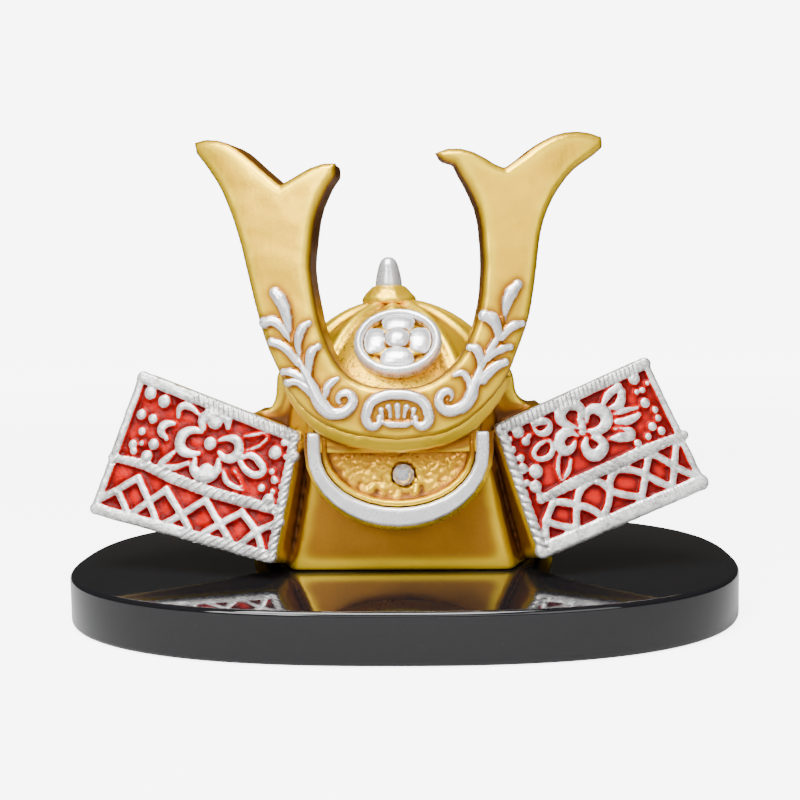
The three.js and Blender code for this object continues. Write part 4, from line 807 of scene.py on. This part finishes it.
# Wing reliefs: strokes as (x, z, half width) and dabs as (x, z, radius) in millimetres on each wing's face
RELIEF_SHAPES = {
    "left": {
        "petals": (
            ((1.4, 11.8, 1.2), (1.2, 14.5, 1.8), (3.5, 16.0, 2.1), (6.4, 16.1, 2.1), (8.9, 14.4, 1.8),
             (9.2, 12.1, 1.1)),
            ((1.0, 10.7, 0.9), (-1.7, 11.2, 1.4), (-4.3, 10.4, 1.8), (-5.6, 8.1, 2.0), (-5.0, 5.6, 1.9),
             (-2.6, 4.3, 1.6), (0.5, 4.4, 1.0)),
            ((6.8, 8.3, 0.9), (8.9, 8.9, 1.2), (11.8, 8.5, 1.6), (13.1, 6.1, 1.8), (12.0, 3.7, 1.8),
             (9.3, 3.1, 1.5),
             (7.0, 4.7, 1.0)),
            ((-0.5, 2.5, 1.0), (-0.6, -0.1, 1.7), (1.4, -1.8, 2.1), (4.4, -2.0, 2.2), (6.6, -0.2, 1.7),
             (6.9, 2.5, 1.0)),
        ),
        "leaves": (
            ((-6.9, 15.1, 0.9), (-6.2, 18.0, 1.4), (-3.7, 18.2, 1.3), (-0.1, 15.9, 0.9)),
            ((-6.7, 5.2, 0.9), (-9.3, 2.8, 1.3), (-11.3, 0.6, 1.3), (-7.6, 0.1, 1.3), (-2.6, 1.5, 1.0)),
            ((-7.9, 13.1, 0.9), (-10.9, 12.8, 1.6), (-12.0, 11.0, 1.6), (-10.1, 8.6, 1.0)),
            ((14.5, 9.6, 0.8), (17.8, 10.2, 0.9), (21.5, 9.9, 0.8), (20.4, 7.8, 0.9), (17.6, 6.2, 0.9),
             (15.2, 5.4, 0.8)),
            ((14.5, 3.5, 1.0), (16.8, 4.1, 1.3), (19.6, 2.3, 1.4), (20.9, -0.4, 1.4), (18.7, -1.5, 1.4),
             (15.7, -0.2, 1.3), (13.8, 1.9, 1.1)),
            ((8.7, -0.4, 0.8), (9.5, -3.0, 1.2), (12.3, -5.0, 1.1), (15.3, -5.9, 0.8)),
            ((11.9, -0.3, 0.7), (13.8, -2.7, 0.8), (15.3, -5.6, 0.7)),
        ),
        "dabs": (
            (3.9, 7.3, 2.2), (5.1, 14.1, 2.8), (3.3, -1.0, 2.8), (-16.4, 22.2, 2.2), (-11.7, 19.7, 2.2),
            (-18.9, 15.7, 1.8),
            (-15.0, 14.4, 1.7), (-20.8, 6.7, 1.6), (-20.4, 4.9, 1.4), (-18.2, 10.7, 1.4), (-14.1, 6.8, 1.9),
            (-16.0, 3.2, 2.1), (-18.1, 7.1, 1.1), (24.3, 5.0, 2.2), (26.9, 8.0, 1.3), (29.2, 7.3, 1.6),
            (30.0, 4.0, 1.7),
            (27.6, 3.9, 1.1), (23.7, -0.4, 1.2), (24.6, -2.8, 1.4), (20.8, -5.2, 1.4), (24.3, -6.2, 1.1),
            (27.3, -4.8, 1.6), (23.1, -8.8, 2.2),
        ),
        "divider": ((-27.5, 2.7, 1.4), (-17.3, 0.8, 1.7), (-7.1, -3.0, 1.9), (2.8, -6.1, 1.9),
                    (12.5, -8.5, 1.9),
                    (22.8, -10.7, 1.8), (26.5, -11.6, 1.6)),
        "lattice": (
            ((-31.1, -10.3), (-24.6, -6.8), (-18.2, -3.1)), ((-24.6, -7.0), (-20.3, -14.4)),
            ((-18.2, -3.1), (-14.2, -10.1), (-10.4, -17.3)), ((-20.3, -14.4), (-14.2, -10.1), (-8.9, -6.5)),
            ((-8.9, -6.5), (-3.5, -13.6), (1.1, -20.3)), ((-10.4, -17.3), (-3.5, -13.6), (3.7, -9.1)),
            ((3.7, -9.1), (8.8, -15.9), (13.9, -22.8)), ((1.1, -20.3), (8.8, -15.9), (15.3, -12.3)),
            ((15.3, -12.3), (20.1, -17.8), (22.3, -23.2)), ((13.9, -22.8), (20.1, -17.8), (26.9, -14.8)),
        ),
        "nicks": ((0, 0.35, 1, 1.7, 0.5, 0.4), (1, 0, 1, 2.1, 0.9, 0.5), (2, 0, 0.5, 2.2, -0.9, 0.5)),
        "divider_nicks": (2.3, -0.7, 0.5),
    },
    "right": {
        "petals": (
            ((-4.9, 9.8, 1.0), (-4.3, 13.4, 1.7), (-6.6, 14.8, 2.0), (-9.7, 13.6, 2.0), (-10.4, 10.7, 1.9),
             (-8.1, 8.9, 1.3), (-5.8, 8.0, 0.9)),
            ((-2.8, 9.7, 0.9), (-1.8, 12.8, 1.5), (0.9, 13.2, 2.0), (3.2, 10.7, 2.1), (2.1, 7.9, 1.9),
             (-0.6, 6.8, 1.3),
             (-2.9, 6.9, 0.9)),
            ((-3.2, 4.9, 1.0), (-3.7, 2.1, 1.7), (-1.9, 0.0, 2.0), (1.1, 1.2, 2.0), (1.5, 3.7, 1.7),
             (-1.0, 5.1, 1.1)),
            ((-5.8, 5.8, 0.9), (-7.5, 6.6, 1.3), (-10.2, 6.2, 1.8), (-11.3, 3.7, 1.8), (-10.0, 1.5, 1.8),
             (-7.9, 2.0, 1.4), (-6.6, 3.9, 0.9)),
        ),
        "leaves": (
            ((2.3, 14.0, 0.9), (4.1, 17.0, 1.4), (7.7, 19.6, 1.4)),
            ((4.7, 13.3, 1.0), (7.6, 14.8, 1.8), (8.5, 18.2, 1.4)),
            ((5.8, 11.6, 0.9), (9.1, 12.6, 1.2), (12.8, 13.3, 0.9)),
            ((6.3, 9.4, 1.1), (9.9, 9.7, 1.6), (13.1, 11.2, 1.1)),
            ((3.9, 4.6, 0.9), (6.9, 4.8, 1.7), (10.6, 5.8, 1.5), (8.1, 7.2, 1.0), (5.2, 7.3, 0.8)),
            ((-11.6, 0.1, 0.9), (-12.3, -3.3, 1.0), (-11.7, -6.7, 0.8)),
            ((-11.4, -7.1, 0.8), (-9.3, -4.3, 1.0), (-8.3, -1.2, 0.9)),
            ((-15.2, 4.5, 0.9), (-17.8, 3.1, 1.0), (-18.9, 0.3, 1.0), (-15.6, -0.4, 1.2), (-13.4, 2.2, 1.2),
             (-14.0, 4.6, 0.9)),
            ((-18.4, 9.5, 1.2), (-15.8, 10.2, 1.4), (-13.8, 9.6, 1.1), (-15.0, 7.0, 1.4), (-17.3, 6.9, 1.1),
             (-18.4, 8.3, 0.9)),
        ),
        "dabs": (
            (-4.2, 8.1, 1.4), (-4.0, 9.6, 1.1), (-4.3, 6.6, 1.2), (-23.2, 7.4, 2.0), (-26.0, 5.3, 1.2),
            (-25.3, 2.3, 1.4),
            (-21.1, 4.6, 1.5), (-20.0, 6.2, 1.1), (-22.9, -0.1, 1.4), (-22.6, -3.1, 1.7),
            (-18.8, -4.0, 2.3),
            (-19.2, -8.3, 2.0), (-21.6, -7.2, 1.2), (-18.2, -10.7, 1.3), (12.5, 21.8, 2.0),
            (14.9, 18.4, 1.2),
            (16.5, 20.4, 1.0), (15.3, 14.6, 1.7), (18.2, 12.5, 1.2), (13.1, 17.9, 1.1), (18.9, 10.0, 1.2),
            (16.9, 7.6, 1.5), (19.6, 6.3, 1.5), (15.4, 4.8, 1.3), (12.1, 2.9, 1.4),
        ),
        "divider": ((-18.0, -12.1, 1.5), (-8.4, -7.9, 1.8), (1.7, -4.1, 1.9), (12.0, -0.1, 2.0),
                    (19.2, 2.5, 1.8),
                    (26.4, 4.9, 1.4)),
        "lattice": (
            ((-17.1, -18.2), (-14.4, -12.8)), ((-17.1, -18.2), (-17.4, -24.6)),
            ((-17.1, -18.2), (-13.1, -19.6), (-9.1, -20.5)),
            ((-14.4, -12.8), (-10.9, -13.2), (-7.4, -14.1)),
            ((-8.2, -20.2), (-7.6, -14.1), (-6.2, -9.9), (-2.4, -7.0)),
            ((-7.4, -14.1), (-4.0, -15.1), (-0.1, -17.9)),
            ((-2.4, -7.0), (0.4, -8.2), (2.5, -10.1), (6.4, -11.7), (11.9, -12.5)),
            ((-0.1, -17.9), (1.7, -14.2), (2.5, -10.1), (2.9, -7.1), (4.9, -4.4)),
            ((4.9, -4.4), (9.4, -4.8), (13.5, -6.2), (17.5, -8.6), (21.2, -10.1)),
            ((11.9, -12.5), (13.5, -6.2), (15.2, 0.0)),
            ((15.2, 0.0), (18.7, -1.7), (22.4, -4.2), (29.6, -7.7)),
            ((21.2, -10.1), (22.4, -4.2), (23.8, 3.3)),
        ),
        "nicks": ((0, 0.05, 1, 1.4, -0.2, 0.4), (1, 0, 1, 2.5, -0.6, 0.6), (2, 0, 0.9, 1.1, 0, 0.12)),
        "divider_nicks": (1.8, 0.6, 0.5),
    },
}


def inset_corners(corners, distances):
    """The corners of the four-sided shape whose sides lie these distances further in."""
    middle = sum(corners, Vector((0, 0))) / 4
    normals, offsets = [], []
    for i, distance in enumerate(distances):
        run = corners[(i + 1) % 4] - corners[i]
        inward = Vector((-run.y, run.x)).normalized()
        inward *= math.copysign(1, inward.dot(middle - corners[i]))
        normals.append(inward)
        offsets.append(inward.dot(corners[i]) + distance)
    meets = [np.linalg.solve((normals[i - 1], normals[i]), (offsets[i - 1], offsets[i])) for i in range(4)]
    return [Vector(meet) for meet in meets]


def nick(points, start, end, half_width, pitch, slant, depth):
    """Presses slanting nicks into the top of a bar."""
    run = Vector(end) - Vector(start)
    length = run.length
    along = (points[:, (0, 2)] / MM - np.array(start)) @ np.array(run / length)
    across = (points[:, (0, 2)] / MM - np.array(start)) @ np.array((-run.y / length, run.x / length))
    on_top = points[:, 1] < -(RELIEF_GROUND + 0.5) * MM
    on_bar = (np.abs(across) < half_width) & (along > 0) & (along < length) & on_top
    wave = (0.5 + 0.5 * np.cos(2 * math.pi * (along + slant * across) / pitch)) ** 3
    points[on_bar, 1] += depth * MM * wave[on_bar]


def wing_relief(side):
    sign = 1 if side == "right" else -1
    shapes = RELIEF_SHAPES[side]
    widths = BORDER_WIDTHS[side]
    corners = [Vector(corner) for corner in WING_CORNERS[side]]
    slab = added(bpy.ops.mesh.primitive_cube_add, size=1)
    ground = inset_corners(corners, [0.4 * width for width in widths])
    points = points_of(slab)
    for i, (x, y, z) in enumerate(points):
        corner = ground[(0 if x * sign > 0 else 1) if z > 0 else (3 if x * sign > 0 else 2)]
        points[i] = (corner.x * MM, (-RELIEF_GROUND if y < 0 else 2.3) * MM, corner.y * MM)
    move_points(slab, points)
    pieces = [slab]
    ring = inset_corners(corners, [width / 2 for width in widths])
    border = [((*ring[i], widths[i] / 2), (*ring[(i + 1) % 4], widths[i] / 2)) for i in range(4)]
    lattice = [tuple((x, z, LATTICE_HALF_WIDTH) for x, z in bar) for bar in shapes["lattice"]]
    for stations in (*border, shapes["divider"], *lattice, *shapes["petals"], *shapes["leaves"]):
        pieces.append(ribbon(stations, 1.15))
    for x, z, radius in shapes["dabs"]:
        pieces.append(ball((x * MM, 0, z * MM), (radius * MM, min(1.15 * radius, 2.1) * MM, radius * MM)))
    for piece in pieces[1:]:
        piece.data.transform(Matrix.Translation((0, -RELIEF_GROUND * MM, 0)))
    relief = cast(joined(pieces), WING_VOXEL, 2)
    points = points_of(relief)
    rise = -points[:, 1] / MM - RELIEF_GROUND
    raised = np.clip((rise - 0.35) / 1.1, 0, 1)
    flattened = -(RELIEF_GROUND + RELIEF_LIMIT * np.tanh(rise / RELIEF_LIMIT)) * MM
    points[:, 1] = np.where(rise > 0, flattened, points[:, 1])
    for i, first, last, pitch, slant, depth in shapes["nicks"]:
        start, end = ring[i], ring[(i + 1) % 4]
        nick(points, start.lerp(end, first), start.lerp(end, last), widths[i] / 2, pitch, slant, depth)
    for start, end in zip(shapes["divider"], shapes["divider"][1:]):
        nick(points, start[:2], end[:2], 2, *shapes["divider_nicks"])
    inside = np.full(len(points), 1e9)
    for i, corner in enumerate(corners):
        run = (corners[(i + 1) % 4] - corner).normalized()
        from_corner = points[:, (0, 2)] / MM - np.array(corner)
        inside = np.minimum(inside, np.abs(from_corner @ np.array((-run.y, run.x))))
    store(relief, "raised", np.maximum(raised, np.clip((min(widths) - 0.6 - inside) / 0.6, 0, 1)))
    move_points(relief, points)
    roughened(relief, 3.5 * MM, 0.4 * MM)
    turn = (Matrix.Rotation(math.radians(sign * WING_TURN), 4, "Z")
            @ Matrix.Rotation(math.radians(-WING_RISE), 4, "X"))
    place = Vector(WING_CENTRE[side]) * MM + Vector((HELMET_X, 0, DECK))
    relief.data.transform(Matrix.Translation(place) @ turn)
    kinds = ("wing_frame_", "wing_panel_", "wing_flower_", "wing_blossom_")
    nodes = [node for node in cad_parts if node.startswith(tuple(kind + side for kind in kinds))]
    finished(relief, "wing_relief_" + side, enamel, nodes, 0.4 * MM, 24)


enamel = enamel_and_silver("enamel_and_silver")
for side in ("left", "right"):
    wing_relief(side)


# Floor, lights and camera
def paper(name, colour, glow_near, glow_far):
    """Matt paper that glows a little, more so far from the object."""
    finish = Finish(name, roughness=0.9)
    finish.surface.inputs["Base Color"].default_value = (colour, colour, colour, 1)
    finish.surface.inputs["Specular IOR Level"].default_value = 0
    finish.surface.inputs["Emission Strength"].default_value = 1
    away = finish.node("ShaderNodeVectorMath", {"operation": "LENGTH"}, {0: finish.place}, "Value")
    glow = finish.mix(finish.step(away, 0.2, 1.3), (glow_near,) * 3, (glow_far,) * 3)
    return finish.feed(Emission_Color=glow)


FLOOR_RADIUS = 3
BACKDROP_RADIUS = 2.9
BACKDROP_HEIGHT = 2.6
BOUNCE_RADIUS = 0.6
PAPER_GLOW = 7.5
FLOOR_GLOW_NEAR = 5.5
# Each light's name, place, the point that it is aimed at, its sides in metres and its power in watts
SOFTBOXES = (
    ("top_softbox", (-0.1, -0.35, 0.95), (0, 0, 0.05), (0.7, 0.6), 30),
    ("key_softbox", (-0.5, -0.85, 0.6), (0, 0, 0.08), (0.45, 0.45), 11),
    ("fill_softbox", (0.6, -0.85, 0.45), (0, 0, 0.08), (0.5, 0.5), 3),
    ("front_softbox", (0.0, -1.1, 0.4), (0, 0, 0.09), (0.9, 0.3), 3),
)


def disc(name, height, radius):
    sheet = added(bpy.ops.mesh.primitive_circle_add, (0, 0, height), vertices=96, radius=radius,
                  fill_type="NGON")
    sheet.name = name
    return sheet


def make_stage():
    """A floor and a wall that only the camera sees, and a floor that only lights the object from below."""
    floor = disc("floor", -0.2 * MM, FLOOR_RADIUS)
    floor.data.materials.append(paper("floor_paper", 0.6, FLOOR_GLOW_NEAR, PAPER_GLOW))
    wall = added(bpy.ops.mesh.primitive_cylinder_add, (0, 0, 1.2), vertices=96, radius=BACKDROP_RADIUS,
                 depth=BACKDROP_HEIGHT, end_fill_type="NOTHING")
    wall.name = "backdrop"
    wall.data.materials.append(paper("backdrop_paper", 0.0, PAPER_GLOW, PAPER_GLOW))
    for sheet in (floor, wall):
        for switch in ("visible_diffuse", "visible_glossy", "visible_shadow", "visible_transmission"):
            setattr(sheet, switch, False)
    bounce = disc("floor_bounce", -0.8 * MM, BOUNCE_RADIUS)
    bounce.visible_camera = False
    bounce.data.materials.append(paper("bounce_paper", 0.42, 0.0, 0.0))


def softbox(name, place, aim, size, power):
    light = bpy.data.lights.new(name, "AREA")
    light.shape = "RECTANGLE"
    light.size, light.size_y = size
    light.energy = power
    lamp = bpy.data.objects.new(name, light)
    lamp.location = place
    lamp.rotation_euler = (Vector(aim) - Vector(place)).to_track_quat("-Z", "Y").to_euler()
    bpy.context.collection.objects.link(lamp)


make_stage()
for softbox_row in SOFTBOXES:
    softbox(*softbox_row)

world = bpy.data.worlds.new("studio")
world.use_nodes = True
world.node_tree.nodes["Background"].inputs["Color"].default_value = (0.05, 0.047, 0.042, 1)
bpy.context.scene.world = world

camera_data = bpy.data.cameras.new("camera")
camera_data.lens = CAMERA_LENS
camera_data.sensor_width = 36
camera = bpy.data.objects.new("camera", camera_data)
camera.location = CAMERA_PLACE
view_turn = (Matrix.Rotation(math.radians(CAMERA_TURN), 4, "Z")
             @ Matrix.Rotation(math.radians(90 - CAMERA_DOWN), 4, "X")
             @ Matrix.Rotation(math.radians(CAMERA_ROLL), 4, "Z"))
camera.rotation_euler = view_turn.to_euler()
bpy.context.collection.objects.link(camera)
bpy.context.scene.camera = camera
